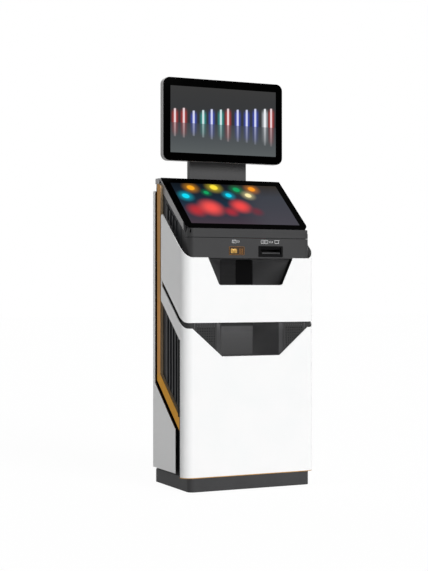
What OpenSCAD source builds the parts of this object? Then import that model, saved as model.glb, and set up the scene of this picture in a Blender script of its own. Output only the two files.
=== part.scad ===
// Self-service kiosk: a touch screen lid and an upright screen over a cabinet with wrap-round front shells.
// X is to the right, Y to the back and Z up. The origin is on the floor under the middle of the kiosk.

/* [Cabinet] */
// Width over the white front shells
shell_w = 640; // [620:1:680]
// How far the shells stand out beside the dark cabinet
shell_out = 27; // [24:0.5:32]
// Depth from the front shells to the rear edge
depth = 366; // [360:1:400]
// Height of the plinth
plinth_h = 59; // [40:1:70]
// Radius of the front shells' corners in plan
shell_r = 44; // [38:1:60]
// Radius of the head's front corners in plan
cab_r = 25; // [15:1:32]
// Thickness of the white shells
skin = 3; // [2:0.5:4]
// Thickness of the cabinet's sheet
sheet = 2; // [1.5:0.5:2.5]

/* [Front shells] */
// Height of the lower shell's front edge
low_top = 696; // [680:1:710]
// Height of the slot between the shells
slot_h = 24; // [18:1:30]
// Height of the upper shell's front edge
up_top = 996; // [985:1:998]
// Slope of the slot along the side
slot_slope = 39.4; // [36:0.1:42]
// Slope of the upper shell's top edge
top_slope = 38.8; // [36:0.1:41]
// Slope of the arm's lower edge
arm_slope = 39.4; // [38:0.1:41]
// Distance from the front to the cheeks' rear edge
cheek_l = 245; // [225:1:255]

/* [Niches] */
// Height of the upper niche's floor
up_niche_z = 881; // [860:1:900]
// Half width of the upper niche at its floor
up_niche_b = 152; // [130:1:165]
// Half width of the upper niche at the fascia
up_niche_t = 204; // [190:1:210]
// Height of the lower niche's floor
low_niche_z = 575; // [565:1:590]
// Half width of the lower niche at its floor
low_niche_b = 139; // [120:1:150]
// Distance from the lower niche's top corners to the shells' sides
low_niche_edge = 41; // [40:1:60]
// Depth of the upper niche
up_niche_d = 147; // [138:1:155]
// Depth of the lower niche
low_niche_d = 138; // [130:1:150]
// Half width of the niches' back wall
niche_back = 77.5; // [72:0.5:85]

/* [Lid] */
// Slope of the touch screen
slope = 39.4; // [38:0.1:41]
// How far the touch glass stands out beside the cabinet
glass_out = 4; // [3:0.5:6]
// Length of the touch glass along the slope
glass_l = 366; // [356:1:370]
// Height of the glass's front edge
lid_z = 1126; // [1120:1:1135]
// Thickness of both glasses
glass_t = 4; // [3:0.5:5]
// Depth of the lid's tray under the glass
tray_d = 22; // [20:1:24]
// Radius of the touch glass's front corners
glass_r = 38; // [24:1:42]
// Depth of the silver rim at its front end
rim_d = 34; // [30:1:38]
// Depth of the deck behind the lid
deck_d = 44; // [42:1:60]

/* [Upright screen] */
// Width of the upright screen
mon_w = 594; // [560:1:640]
// Height of the upright screen
mon_h = 369.5; // [340:0.5:390]
// Height of its lower edge
mon_z = 1434.5; // [1425:0.5:1470]
// Depth of its case
mon_d = 34.5; // [28:0.5:40]
// Radius of its corners
mon_r = 30; // [22:1:36]
// Width of the mast
mast_w = 285; // [240:1:290]

/* [Clearances] */
// Radial clearance of pins and spindles
run = 0.05; // [0.02:0.01:0.08]
// Gap beside moving panels
gap = 1; // [0.8:0.1:1.5]
// Gap around pushed buttons
push_gap = 0.4; // [0.3:0.1:0.5]

/* [Hidden] */
$fn = 64;
yf = -depth / 2;
yr = depth / 2;
sx = shell_w / 2;
cx = sx - shell_out;
glass_x = cx + glass_out;
low_niche_t = sx - low_niche_edge;
flank_x = sx - 52;
slit = 0.2;
trim_t = 3;
shell_z = plinth_h + trim_t;
up_bot = low_top + slot_h;
cheek_y = yf + cheek_l;
knee_y = yf + 11.4;
upstand_y = cheek_y - 10;
seam = 1.2;
fascia_y = yf + skin + 0.5;
wall_y = yf + 31;
rear_y = yr - 13;
body_top = 988;
head_z = 997;
lid_y = yf + 18;
hinge_u = glass_l + 5.5;
hinge_v = -10;
hinge_r = 4.5;
pin_r = 2.5;
tray_v = -glass_t - tray_d;
side_v = -glass_t - 4;
seam_z = lid_z - 41;
lip_z = lid_z - 2;
rim_y = yf + 55;
trim_y = yr - 50;
trim_w = 36;
trim_low = 44;
trim_slope = 39.5;
bend_z = 458.7;
trim_x = sx - 12;
panel_x = sx - 13;
panel_t = 2.5;
panel_y = yf + 118;
groove = 24.5;
groove_low = 26;
door_y = rear_y + 1;
axis_x = -(cx - 6);
axis_y = rear_y + 7;
lock_x = cx - 41;
lock_z = 560;
reader_x = -68.5;
reader_z = 1029;
note_x = 97;
note_z = 1027.5;
note_slot_z = 1031;
fan_x = 2.75 - (cx + mast_w / 2) / 2;
fan_z = 1262;
ticket_y = yf + 70;
roll_y = ticket_y + 84;
roll_z = up_bot + 49;
shelf_z = 330;
inlet_x = cx - 93;
inlet_z = 112;

// Points and lines shared by neighbouring pieces
function lid_pt(u, v) = [lid_y + u * cos(slope) - v * sin(slope), lid_z + u * sin(slope) + v * cos(slope)];
function up_line(y) = up_bot + (y - knee_y) * tan(slot_slope);
function slot_line(y) = up_line(y) - slot_h - 1.5;
function seam_line(y) = up_line(y) - seam;
function top_line(y) = up_top + 40 + (y - yf - 35) * tan(top_slope);
function arm_line(y) = low_top - 48 + (y - yf - shell_r) * tan(arm_slope);
function trim_line(y, w) = bend_z + (y - trim_y) * tan(trim_slope) + w / cos(trim_slope);
function glass_line(y, v) = lid_z + (y - lid_y) * tan(slope) + v / cos(slope);
function rim_line(y) = glass_line(rim_y, -glass_t) - rim_d + (y - rim_y) * tan(slope - 1.75);
hinge = lid_pt(hinge_u, hinge_v);
deck_y = hinge[0] + 8;
deck_top = hinge[1] + 3.4;
deck_z = deck_top - 24;
head_r = deck_y + deck_d + 2;
mon_y = head_r - 95.5;
mast_y = head_r - 31;
fan_y = head_r - 19;

function unit(v) = v / norm(v);
function turn(a) = (a + 540) % 360 - 180;
// Points of a rounded corner at b, coming from a and going to c
function fillet(a, b, c, r, n = 6) =
  let (u = unit(a - b), v = unit(c - b), h = acos(u * v) / 2, m = b + unit(u + v) * r / sin(h))
  let (p = b + u * r / tan(h) - m, q = b + v * r / tan(h) - m)
  let (a0 = atan2(p[1], p[0]), sweep = turn(atan2(q[1], q[0]) - a0))
  [for (i = [0:n]) m + r * [cos(a0 + sweep * i / n), sin(a0 + sweep * i / n)]];

// Side outline of the upper shell
function up_outline() =
  let (e = [yf - 1, up_bot], k = [knee_y, up_bot], b = [cheek_y, up_line(cheek_y)])
  let (t = [cheek_y, top_line(cheek_y)], f = [yf + 35, top_line(yf + 35)])
  concat([e], fillet(e, k, b, 30), [b], fillet(b, t, f, 12),
    [f, [yf + 15, up_top + 17], [yf + 4, up_top + 4.5], [yf - 1, up_top]]);

// Side outline of the lower shell with its arm and upstand; the slot's end is rounded
function low_outline() =
  let (e = yf + shell_r, c = cheek_y, s = upstand_y, k = [knee_y + 1.8, low_top], n = [yf - 1, low_top])
  let (p = [s, seam_line(s)], q = [s, slot_line(s)])
  concat([[yf - 1, shell_z], [e, shell_z], [e, arm_line(e)], [c, arm_line(c)], [c, seam_line(c)], p],
    fillet(p, q, k, 8), fillet(q, k, n, 30), [n]);

// Edge beside the gold trim: w in front of its upright rear edge and v above its slanted lower edge
function trim_edge(w, v, z_top, y_end) =
  [[trim_y - w, z_top], [trim_y - w, trim_line(trim_y - w, v)], [y_end, trim_line(y_end, v)]];
function back_to_front(p) = [for (i = [len(p) - 1:-1:0]) p[i]];

// Zones of the vent plates on the side, drawn in by d
function low_zone(d) =
  let (a = yf + 47 + d, b = trim_y - trim_w - 1.5 - d)
  [[a, trim_line(a, trim_low) + 2 + 1.3 * d], [b, trim_line(b, trim_low) + 2 + 1.3 * d],
    [b, arm_line(b) - 2 - 1.3 * d], [a, arm_line(a) - 2 - 1.3 * d]];
function up_zone(d) =
  let (a = yf + 86 + d, b = trim_y - trim_w - 1.5 - d)
  [[a, top_line(a) - 32 + 1.3 * d], [b, top_line(b) - 32 + 1.3 * d],
    [b, rim_line(b) - 4 - 1.3 * d], [a, rim_line(a) - 4 - 1.3 * d]];

module block(x0, x1, y0, y1, z0, z1) {
  translate([x0, y0, z0]) cube([x1 - x0, y1 - y0, z1 - z0]);
}

// Block with rounded front corners in plan
module plan_block(hx, y0, y1, r, z0, z1) {
  difference() {
    block(-hx, hx, y0, y1, z0, z1);
    for (s = [-1, 1]) translate([s * (hx - r), y0 + r, z0 - 1]) difference() {
      block(s > 0 ? 0 : -r - 1, s > 0 ? r + 1 : 0, -r - 1, 0, 0, z1 - z0 + 2);
      translate([0, 0, -1]) cylinder(r = r, h = z1 - z0 + 4);
    }
  }
}

// Wall of thickness t along the front and sides, open at the back
module plan_wall(hx, y0, y1, r, t, z0, z1) {
  difference() {
    plan_block(hx, y0, y1, r, z0, z1);
    plan_block(hx - t, y0 + t, y1 + 1, r - t, z0 - 1, z1 + 1);
  }
}

// Outline in Y and Z, drawn out along X
module side_prism(pts, x0, x1) {
  translate([x0, 0, 0]) rotate([90, 0, 90]) linear_extrude(height = x1 - x0) polygon(pts);
}

// Outline in X and Z, drawn out along Y
module front_prism(pts, y0, y1) {
  translate([0, y1, 0]) rotate([90, 0, 0]) linear_extrude(height = y1 - y0) polygon(pts);
}

// Outline in X and Y, drawn out along Z
module plan_prism(pts, z0, z1) {
  translate([0, 0, z0]) linear_extrude(height = z1 - z0) polygon(pts);
}

module rod_x(r, x0, x1, y, z) {
  translate([x0, y, z]) rotate([0, 90, 0]) cylinder(r = r, h = x1 - x0);
}

module rod_y(r, x, y0, y1, z) {
  translate([x, y1, z]) rotate([90, 0, 0]) cylinder(r = r, h = y1 - y0);
}

module rod_z(r, x, y, z0, z1) {
  translate([x, y, z0]) cylinder(r = r, h = z1 - z0);
}

// Plate with four rounded corners standing in the X and Z plane
module upright(x, z0, z1, r, y0, y1) {
  union() {
    block(-x + r, x - r, y0, y1, z0, z1);
    block(-x, x, y0, y1, z0 + r, z1 - r);
    for (s = [-1, 1]) {
      rod_y(r, s * (x - r), y0, y1, z0 + r);
      rod_y(r, s * (x - r), y0, y1, z1 - r);
    }
  }
}

module on_lid() {
  translate([0, lid_y, lid_z]) rotate([slope, 0, 0]) children();
}

module mirrored() {
  mirror([1, 0, 0]) children();
}

module plinth() {
  color("#3d3d3f") difference() {
    plan_block(cx, yf + 2, yr - 2, cab_r, 0, plinth_h);
    plan_block(cx - sheet, yf + 2 + sheet, yr - 2 - sheet, cab_r - sheet, -1, plinth_h + 1);
    for (x = [-60:20:60]) block(x - 3, x + 3, yr - 6, yr, 18, plinth_h - 18);
  }
}

module base_plate() {
  color("#8a8d90") difference() {
    block(-cx + sheet, cx - sheet, yf + 2 + cab_r, yr - 2 - sheet, 0, 4);
    for (x = [-230, 230]) for (y = [-120, 120]) rod_z(6, x, y, -1, 5);
    block(-60, 60, -40, 40, -1, 5);
  }
}

module base_trim() {
  color("#a87a3a") plan_wall(sx - 1, yf + 1, yf + shell_r, shell_r - 1, 8, plinth_h, shell_z);
}

// Folded panels screwed together: sides, floor, front, rear frame, stand-offs and rails
module carcass() {
  in_x = cx - sheet - slit;
  color("#3a3b3d") {
    for (s = [-1, 1]) difference() {
      block(s > 0 ? cx - sheet : -cx, s > 0 ? cx : -cx + sheet, wall_y, rear_y, plinth_h, body_top);
      side_prism(low_zone(9), -cx - 1, cx + 1);
    }
    difference() {
      block(-in_x, in_x, wall_y + sheet + slit, rear_y - sheet - slit, plinth_h, plinth_h + sheet);
      block(-40, 40, -30, 30, plinth_h - 1, plinth_h + sheet + 1);
    }
    difference() {
      block(-in_x, in_x, wall_y, wall_y + sheet, plinth_h, body_top);
      block(-up_niche_t - 6, up_niche_t + 6, wall_y - 1, wall_y + sheet + 1, up_niche_z - 5, body_top + 1);
      block(-flank_x - slit, flank_x + slit, wall_y - 1, wall_y + sheet + 1,
        low_niche_z - 3.2, up_bot + 6.2);
    }
    difference() {
      block(-in_x, in_x, rear_y - sheet, rear_y, plinth_h, 158);
      block(inlet_x - 20, inlet_x + 20, rear_y - sheet - 1, rear_y + 1, inlet_z - 24, inlet_z + 24);
    }
    block(-in_x, in_x, rear_y - sheet, rear_y, 966, body_top);
    for (s = [-1, 1])
      block(s > 0 ? cx - 23 : -in_x, s > 0 ? in_x : -cx + 23, rear_y - sheet, rear_y,
        158 + slit, 966 - slit);
    for (s = [-1, 1]) for (z = [110, 320, 520, 750, 835])
      block(s * (cx - 53) - 12, s * (cx - 53) + 12, yf + skin, wall_y - slit, z, z + 20);
    for (s = [-1, 1]) for (r = [[rear_y - 12, rear_y, body_top], [panel_y + 16, panel_y + 28, 240]])
      block(s > 0 ? cx + slit : panel_t - panel_x, s > 0 ? panel_x - panel_t : -cx - slit,
        r[0], r[1], plinth_h + 20, r[2]);
  }
}

module shelf() {
  color("#8a8d90") difference() {
    union() {
      block(-cx + sheet, cx - sheet, -110, 130, shelf_z - sheet, shelf_z);
      block(-cx + sheet, cx - sheet, -110, -110 + sheet, shelf_z - 20, shelf_z);
      block(-cx + sheet, cx - sheet, 130 - sheet, 130, shelf_z - 20, shelf_z);
    }
    for (x = [-120, 120]) block(x - 30, x + 30, 60, 100, shelf_z - 5, shelf_z + 1);
  }
}

// Cut-out of the upper niche, drawn out by d and carried on above the shell's edge by h_top
function niche_cut(d, h_top) =
  let (k = (up_niche_t - up_niche_b) / (up_top - up_niche_z), h = d * sqrt(1 + k * k))
  let (b = [up_niche_b - d * k + h, up_niche_z - d], t = [up_niche_t + h, up_top])
  let (side = concat(fillet([0, up_niche_z - d], b, t, 12 + d), [t, [t[0], up_top + h_top]]))
  concat(side, back_to_front([for (p = side) [-p[0], p[1]]]));

module upper_shell() {
  color("#f2f3f4") difference() {
    intersection() {
      plan_wall(sx, yf, yr, shell_r, skin, 400, 1400);
      side_prism(up_outline(), -sx, sx);
    }
    front_prism(niche_cut(0, 60), yf - 1, yf + skin + 1);
  }
}

module lower_shell() {
  color("#f2f3f4") difference() {
    intersection() {
      plan_wall(sx, yf, yr, shell_r, skin, 0, 1400);
      side_prism(low_outline(), -sx, sx);
    }
    front_prism([[-low_niche_b, low_niche_z], [low_niche_b, low_niche_z], [low_niche_t, low_top],
      [low_niche_t, low_top + 20], [-low_niche_t, low_top + 20], [-low_niche_t, low_top]],
      yf - 1, yf + skin + 1);
  }
}

module belt() {
  color("#2e2f31") union() {
    difference() {
      plan_wall(sx - 6, yf + 6, yf + shell_r - skin - 1, shell_r - 6, 3, low_top - 5, up_bot + 6);
      block(-flank_x - 0.4, flank_x + 0.4, yf, wall_y, low_top - 10, up_bot + 10);
    }
    for (s = [-1, 1]) translate([s * (flank_x + 1.7), 0, 0])
      block(-1.3, 1.3, yf + 6, wall_y, low_top - 5, up_bot + 6);
  }
}

// Gold strip from under the lid down and forward to the lower shell, drawn in by d0 and at its ends by d1
module trim(d0, d1, x0, x1) {
  y_end = yf + shell_r + 0.5 + d1;
  z_front = glass_line(trim_y - trim_w + d0, -glass_t - 13);
  z_back = min(glass_line(trim_y - d0, -glass_t - 13), deck_z - 1);
  front = trim_edge(trim_w - d0, trim_low - d0, z_front - d1, y_end);
  back = trim_edge(d0, d0, z_back - d1, y_end);
  side_prism(concat(front, back_to_front(back)), x0, x1);
}

module trim_right() {
  color("#b0813c") difference() {
    trim(0, 0, cx, trim_x);
    trim(2, 2, cx - 1, trim_x - 2);
  }
}

module trim_left() {
  mirrored() trim_right();
}

panel_edge = trim_edge(-groove, -groove_low, 1302, panel_y);
function panel_outline() =
  let (a = [yr, 1302], b = [yr, plinth_h + 9])
  concat(fillet(panel_edge[1], panel_edge[0], a, 10), fillet(panel_edge[0], a, b, 10),
    [b, [panel_y, plinth_h + 9], panel_edge[2], panel_edge[1]]);

// Flat skin with a flange along its rear edge; dark rails hold it off the cabinet's side
module rear_panel_right() {
  color("#eceded") union() {
    side_prism(panel_outline(), panel_x - panel_t, panel_x);
    block(cx + 0.5, panel_x, yr - 2, yr, plinth_h + 9, 1290);
  }
}

module rear_panel_left() {
  mirrored() rear_panel_right();
}

// Vent plate on the right side, flat beside the gold trim, with n ribs in front and a slot behind each rib
module ribs(outer, inner, n) {
  y0 = trim_y - trim_w - 52;
  difference() {
    union() {
      side_prism(outer, cx, cx + 2);
      intersection() {
        side_prism(inner, cx, cx + 8);
        for (i = [0:n - 1]) block(cx, cx + 8, y0 - 30 * i - 10, y0 - 30 * i, 200, 1400);
      }
    }
    intersection() {
      side_prism(inner, cx - 1, cx + 3);
      for (i = [0:n - 1]) block(cx - 1, cx + 3, y0 - 30 * i + 1, y0 - 30 * i + 13, 200, 1400);
    }
  }
}

module louvre_right() {
  color("#2b2c2e") ribs(low_zone(0), low_zone(11), 6);
}

module louvre_left() {
  mirrored() louvre_right();
}

module head_louvre_right() {
  color("#2b2c2e") ribs(up_zone(0), up_zone(11), 4);
}

module head_louvre_left() {
  mirrored() head_louvre_right();
}

// Plan of a niche: front and back half widths at depths y0 and y1
module niche_box(plan, grow, z0, z1) {
  outer = [for (p = plan) [p[0] + grow, p[1] + (p[0] == niche_back ? grow : 0)]];
  plan_prism(concat(outer, back_to_front([for (p = outer) [-p[0], p[1]]])), z0, z1);
}

module upper_niche() {
  plan = [[up_niche_t + 2, yf + 28], [niche_back, yf + up_niche_d]];
  color("#38393b") difference() {
    niche_box(plan, 2, up_niche_z - 2, up_top);
    translate([0, -0.01, 0]) niche_box(plan, 0, up_niche_z, up_top - 2);
    block(12, 62, yf + up_niche_d - 1, yf + up_niche_d + 5, up_niche_z + 20, up_top - 20);
  }
}

// Collar that follows the cut-out back to the niche, with a flange on the niche's front edge
module niche_collar() {
  color("#17181a") difference() {
    union() {
      front_prism(niche_cut(2, 0.5), yf + skin, yf + 28);
      block(-up_niche_t - 4, up_niche_t + 4, yf + 26, yf + 28, up_niche_z - 4, up_top + 0.5);
    }
    front_prism(niche_cut(0, 5), yf, yf + 29);
  }
}

module scan_window() {
  back = yf + up_niche_d;
  color("#0b0c0d") block(-2, niche_back - 0.5, back - 2, back - 0.01, up_niche_z + 1, up_top - 3);
}

module scanner() {
  color("#26272a") difference() {
    block(8, 66, yf + up_niche_d + 2, yf + up_niche_d + 52, up_niche_z + 16, up_top - 16);
    block(16, 58, yf + up_niche_d + 1, yf + up_niche_d + 30, up_niche_z + 24, up_top - 24);
  }
}

// Flank panel behind the lower cut-out, with a window for each speaker
spk_x = (flank_x + 158) / 2;
spk_r = (flank_x - 160) / 2 - 4;
module niche_panel() {
  w = spk_r - 6;
  color("#353638") difference() {
    union() {
      block(-flank_x, flank_x, yf + 6, yf + 8, low_niche_z - 3, up_bot + 6);
      block(-flank_x, flank_x, yf + 6, wall_y + sheet, low_niche_z - 3, low_niche_z - 1);
      block(-flank_x, flank_x, yf + 6, wall_y + sheet, up_bot + 4, up_bot + 6);
    }
    block(-160, 160, yf + 5, yf + 9, low_niche_z + 1, up_bot + 2);
    for (s = [-1, 1]) translate([s * spk_x, 0, low_niche_z + 85]) block(-w, w, yf + 5, yf + 9, -w, w);
  }
}

module lower_niche() {
  plan = [[160, yf + 8], [143, yf + 14], [niche_back, yf + low_niche_d]];
  color("#4a4b4d") difference() {
    niche_box(plan, 2, low_niche_z - 1, up_bot + 4);
    translate([0, -0.01, 0]) niche_box(plan, 0, low_niche_z + 1, up_bot + 2);
    block(-42, 42, ticket_y - 4, ticket_y + 4, up_bot + 1, up_bot + 5);
  }
}

module grille_right() {
  n = floor((flank_x - 180) / 11);
  color("#2c2d2f") difference() {
    block(163, flank_x - 5, yf + 4.5, yf + 6, low_niche_z + 25, up_bot + 3);
    for (i = [0:n - 1]) for (j = [0:10])
      rod_y(3, spk_x + 11 * (i - (n - 1) / 2), yf + 3, yf + 7, low_niche_z + 86.5 + 11 * (j - 5));
  }
}

module grille_left() {
  mirrored() grille_right();
}

module speaker_right() {
  color("#1d1e20") translate([spk_x, yf + 8, low_niche_z + 85]) rotate([-90, 0, 0]) difference() {
    union() {
      cylinder(r = spk_r, h = 4);
      cylinder(r = spk_r - 7, h = 24);
      translate([0, 0, 23]) cylinder(r = spk_r / 2, h = 15);
    }
    translate([0, 0, -1]) cylinder(r1 = spk_r - 8, r2 = spk_r / 4, h = 20);
  }
}

module speaker_left() {
  mirrored() speaker_right();
}

function head_outline() =
  let (a = lid_pt(0, side_v), k = tan(slope), f = lid_y + 26)
  [[fascia_y - 1, head_z], [wall_y + 2, head_z], [wall_y + 2, body_top], [head_r - 4, body_top],
    [head_r - 4, deck_z], [a[0] + (deck_z - a[1]) / k, deck_z], [f, a[1] + (f - a[0]) * k],
    [f, seam_z - gap], [fascia_y - 1, seam_z - gap]];

module head_shell() {
  color("#48494b") difference() {
    union() {
      intersection() {
        difference() {
          plan_block(cx, fascia_y, head_r - 4, cab_r, body_top, deck_z);
          plan_block(cx - sheet, fascia_y + sheet, head_r - 4 - sheet, cab_r - sheet,
            body_top - 1, deck_z + 1);
        }
        side_prism(head_outline(), -cx, cx);
      }
      difference() {
        plan_block(cx - 1, fascia_y + 1, head_r - 5, cab_r - 1, head_z, head_z + 2.5);
        block(-160, 160, 70, 140, head_z - 1, head_z + 4);
      }
    }
    side_prism(up_zone(9), -cx - 1, cx + 1);
    block(reader_x - 33, reader_x + 33, fascia_y - 1, fascia_y + 5, reader_z - 14, reader_z + 14);
    block(note_x - 55, note_x + 55, fascia_y - 1, fascia_y + 5, note_z - 20, note_z + 20);
    for (i = [-3:3]) translate([fan_x, 0, fan_z + 11 * i]) block(-38, 38, head_r - 8, head_r, -2.5, 2.5);
  }
}

module deck() {
  color("#a9abad") difference() {
    block(-cx - 3.5, cx + 3.5, deck_y, head_r - 2, deck_z, deck_top);
    block(-cx + 1.5, cx - 1.5, deck_y + 4, head_r - 6, deck_z - 1, deck_top - 4);
    block(-mast_w / 2 - 1, mast_w / 2 + 1, mast_y - 1, head_r - 5, deck_z - 1, deck_top + 1);
  }
}

module card_bezel() {
  color("#b5822f") difference() {
    union() {
      translate([reader_x, fascia_y, reader_z]) block(-36.5, 36.5, -1.5, 0, -18, 18);
      translate([reader_x, fascia_y, reader_z]) block(-32.5, 32.5, -0.5, 3, -13.5, 13.5);
    }
    translate([reader_x, fascia_y, reader_z]) block(-34, 34, -2, -0.8, -14.5, 14.5);
  }
}

module card_reader() {
  color("#1f2022") translate([reader_x, fascia_y, reader_z]) block(-32, 32, 3, 30, -13, 13);
}

module note_bezel() {
  color("#1b1c1e") difference() {
    union() {
      block(note_x - 59, note_x + 59, fascia_y - 3, fascia_y, note_z - 23.5, note_z + 23.5);
      block(note_x - 54.5, note_x + 54.5, fascia_y - 1, fascia_y + 15, note_z - 19.5, note_z + 19.5);
    }
    block(note_x - 50, note_x + 50, fascia_y - 4, fascia_y + 3, note_z - 12, note_z + 17);
    block(note_x - 46.5, note_x + 46.5, fascia_y + 2, fascia_y + 16, note_slot_z - 6, note_slot_z + 6);
  }
}

module note_validator() {
  color("#2a2b2e") difference() {
    union() {
      block(note_x - 52, note_x + 52, fascia_y + 15, fascia_y + 138, head_z + 5.5, head_z + 58);
      block(note_x - 54, note_x + 54, fascia_y + 15, fascia_y + 265, head_z + 2.5, head_z + 5.5);
    }
    block(note_x - 44, note_x + 44, fascia_y + 14, fascia_y + 60, note_slot_z - 5, note_slot_z + 5);
  }
}

module cash_box() {
  color("#c3302c") difference() {
    block(note_x - 50, note_x + 50, fascia_y + 139, fascia_y + 259, head_z + 6, head_z + 104);
    block(note_x - 46, note_x + 46, fascia_y + 143, fascia_y + 255, head_z + 10, head_z + 100);
    block(note_x - 40, note_x + 40, fascia_y + 138, fascia_y + 144, head_z + 16, head_z + 50);
  }
}

module lid_tray() {
  color("#454648") difference() {
    union() {
      on_lid() difference() {
        plan_block(cx - 3, 4, glass_l - 6, glass_r - 4, tray_v, -glass_t);
        plan_block(cx - 5, 6, glass_l - 8, glass_r - 6, tray_v + sheet, 1);
      }
      difference() {
        union() {
          plan_block(cx, fascia_y, lid_y + 24, cab_r, seam_z + gap, seam_z + 22);
          plan_block(cx - 1.5, fascia_y + 1.5, lid_y + 24, cab_r - 1.5, seam_z + 21, lip_z);
        }
        plan_block(cx - 3.5, fascia_y + 3.5, lid_y + 30, cab_r - 3.5, seam_z, lip_z - 6);
        on_lid() block(-cx - 9, cx + 9, 6, glass_l, -60, -glass_t + 1);
      }
    }
    on_lid() block(-cx - 9, cx + 9, -1, glass_l, -glass_t, 60);
    block(-cx - 1, -cx + 12, fascia_y - 1, fascia_y + 12, seam_z + 19, lip_z - 2);
  }
}

// Silver skirts under the glass's sides, stepped up at the back to clear the gold trim
module lid_rim() {
  b = trim_y - trim_w - 2;
  skirt = [[rim_y, glass_line(rim_y, -glass_t)], [rim_y, rim_line(rim_y)], [b, rim_line(b)],
    [b, glass_line(b, -glass_t - 9)], lid_pt(glass_l, -glass_t - 9), lid_pt(glass_l, -glass_t)];
  color("#a9abad") for (s = [-1, 1])
    side_prism(skirt, s > 0 ? cx + 0.6 : -glass_x, s > 0 ? glass_x : -cx - 0.6);
}

module touch_glass() {
  color("#0a0b0d") on_lid() plan_block(glass_x, 0, glass_l, glass_r, -glass_t, 0);
}

module touch_panel() {
  x = glass_x - 25;
  color("#1a1f2b") on_lid() block(-x, x, 24.5, glass_l - 28.5, -glass_t - 12, -glass_t);
}

module lid_knuckles() {
  color("#8f9296") on_lid() for (x = [-200, 0, 200]) difference() {
    union() {
      rod_x(hinge_r, x - 20, x + 20, hinge_u, hinge_v);
      block(x - 20, x + 20, glass_l - 6, hinge_u, hinge_v - hinge_r, hinge_v - hinge_r + 2.5);
    }
    rod_x(pin_r + run, x - 21, x + 21, hinge_u, hinge_v);
  }
}

module hinge_lugs() {
  color("#8f9296") for (x = [-200, 0, 200]) union() {
    for (s = [-1, 1]) {
      rod_x(hinge_r, x + s * 30 - 9.5, x + s * 30 + 9.5, hinge[0], hinge[1]);
      translate([x + s * 30, 0, hinge[1] - hinge_r]) block(-9.5, 9.5, hinge[0], deck_y, 0, 2.5);
    }
    rod_x(pin_r, x - 39, x + 39, hinge[0], hinge[1]);
  }
}

module mast() {
  color("#434446") difference() {
    block(-mast_w / 2, mast_w / 2, mast_y, head_r - 6, deck_z - 106, mon_z + mon_h - 80);
    block(-mast_w / 2 + 3, mast_w / 2 - 3, mast_y + 3, head_r - 9, deck_z - 107, mon_z + mon_h - 83);
    block(-20, 20, mast_y - 1, mast_y + 4, deck_z - 56, deck_z - 26);
  }
}

module bracket() {
  mid = mon_z + mon_h / 2;
  color("#2f3032") union() {
    block(-100, 100, mon_y + mon_d, mon_y + mon_d + 3, mid - 70, mid + 70);
    for (x = [-60, 57]) block(x, x + 3, mon_y + mon_d + 2, mast_y, mid - 60, mid + 60);
    block(-60, 60, mast_y - 3, mast_y, mid - 60, mid + 60);
  }
}

module monitor_case() {
  color("#a9abad") difference() {
    upright(mon_w / 2, mon_z, mon_z + mon_h, mon_r, mon_y + glass_t, mon_y + mon_d);
    upright(mon_w / 2 - 4, mon_z + 4, mon_z + mon_h - 4, mon_r - 4, mon_y, mon_y + mon_d - 3);
    for (i = [-6:6]) translate([i * 30, mon_y + mon_d, mon_z + 300]) block(-10, 10, -5, 1, 0, 6);
  }
}

module monitor_panel() {
  x = mon_w / 2 - 25;
  y = mon_y + glass_t;
  color("#20232a") block(-x, x, y, y + 12, mon_z + 27.75, mon_z + mon_h - 27.75);
}

module monitor_glass() {
  color("#0a0b0d") upright(mon_w / 2 - 0.5, mon_z + 0.5, mon_z + mon_h, mon_r, mon_y, mon_y + glass_t);
}

module rear_door() {
  color("#3f4042") difference() {
    union() {
      block(-cx + 10, cx - 8, door_y, door_y + sheet, 162, 962);
      for (x = [-150, 110]) block(x, x + 40, door_y - 12, door_y, 200, 920);
    }
    for (x = [-150, 110]) block(x + 2, x + 38, door_y - 10, door_y + 0.01, 190, 930);
    for (i = [0:7]) for (x = [-90, 10]) for (z = [200, 820])
      block(x, x + 80, door_y - 1, door_y + 5, z + 12 * i, z + 12 * i + 5);
    rod_y(9.5, lock_x, door_y - 1, door_y + 5, lock_z);
  }
}

module door_knuckles() {
  color("#8f9296") for (z = [260, 860]) difference() {
    union() {
      rod_z(hinge_r, axis_x, axis_y, z - 20, z + 20);
      block(axis_x, axis_x + 30, door_y + sheet, door_y + sheet + 2.5, z - 20, z + 20);
    }
    rod_z(pin_r + run, axis_x, axis_y, z - 21, z + 21);
  }
}

module door_lugs() {
  color("#8f9296") for (z = [260, 860]) union() {
    for (s = [-1, 1]) {
      rod_z(hinge_r, axis_x, axis_y, z + s * 30 - 9.5, z + s * 30 + 9.5);
      block(axis_x - 4, axis_x + 2.5, rear_y, axis_y, z + s * 30 - 9.5, z + s * 30 + 9.5);
    }
    rod_z(pin_r, axis_x, axis_y, z - 39, z + 39);
  }
}

module lock_barrel() {
  color("#c9ccd0") difference() {
    union() {
      rod_y(9.5, lock_x, door_y - 10, door_y + sheet + 1, lock_z);
      rod_y(12, lock_x, door_y + sheet, door_y + sheet + 2.5, lock_z);
      rod_y(4, lock_x, door_y - 17, door_y - 9, lock_z);
    }
    block(lock_x - 1, lock_x + 1, door_y + sheet, door_y + sheet + 3, lock_z - 4, lock_z + 4);
  }
}

module lock_cam() {
  color("#b9bcc0") difference() {
    union() {
      rod_y(8, lock_x, door_y - 14, door_y - 10.4, lock_z);
      block(lock_x - 6, lock_x + 6, door_y - 14, door_y - 11, lock_z - 30, lock_z);
    }
    rod_y(4 + run, lock_x, door_y - 15, door_y - 9, lock_z);
  }
}

module computer() {
  color("#55585c") difference() {
    block(-220, -20, -60, 110, shelf_z, shelf_z + 60);
    block(-217, -23, -57, 107, shelf_z + 3, shelf_z + 57);
    rod_y(5 + push_gap, -50, 100, 112, shelf_z + 30);
    for (i = [0:9]) block(-200 + 12 * i, -194 + 12 * i, 100, 112, shelf_z + 15, shelf_z + 45);
  }
}

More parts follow.
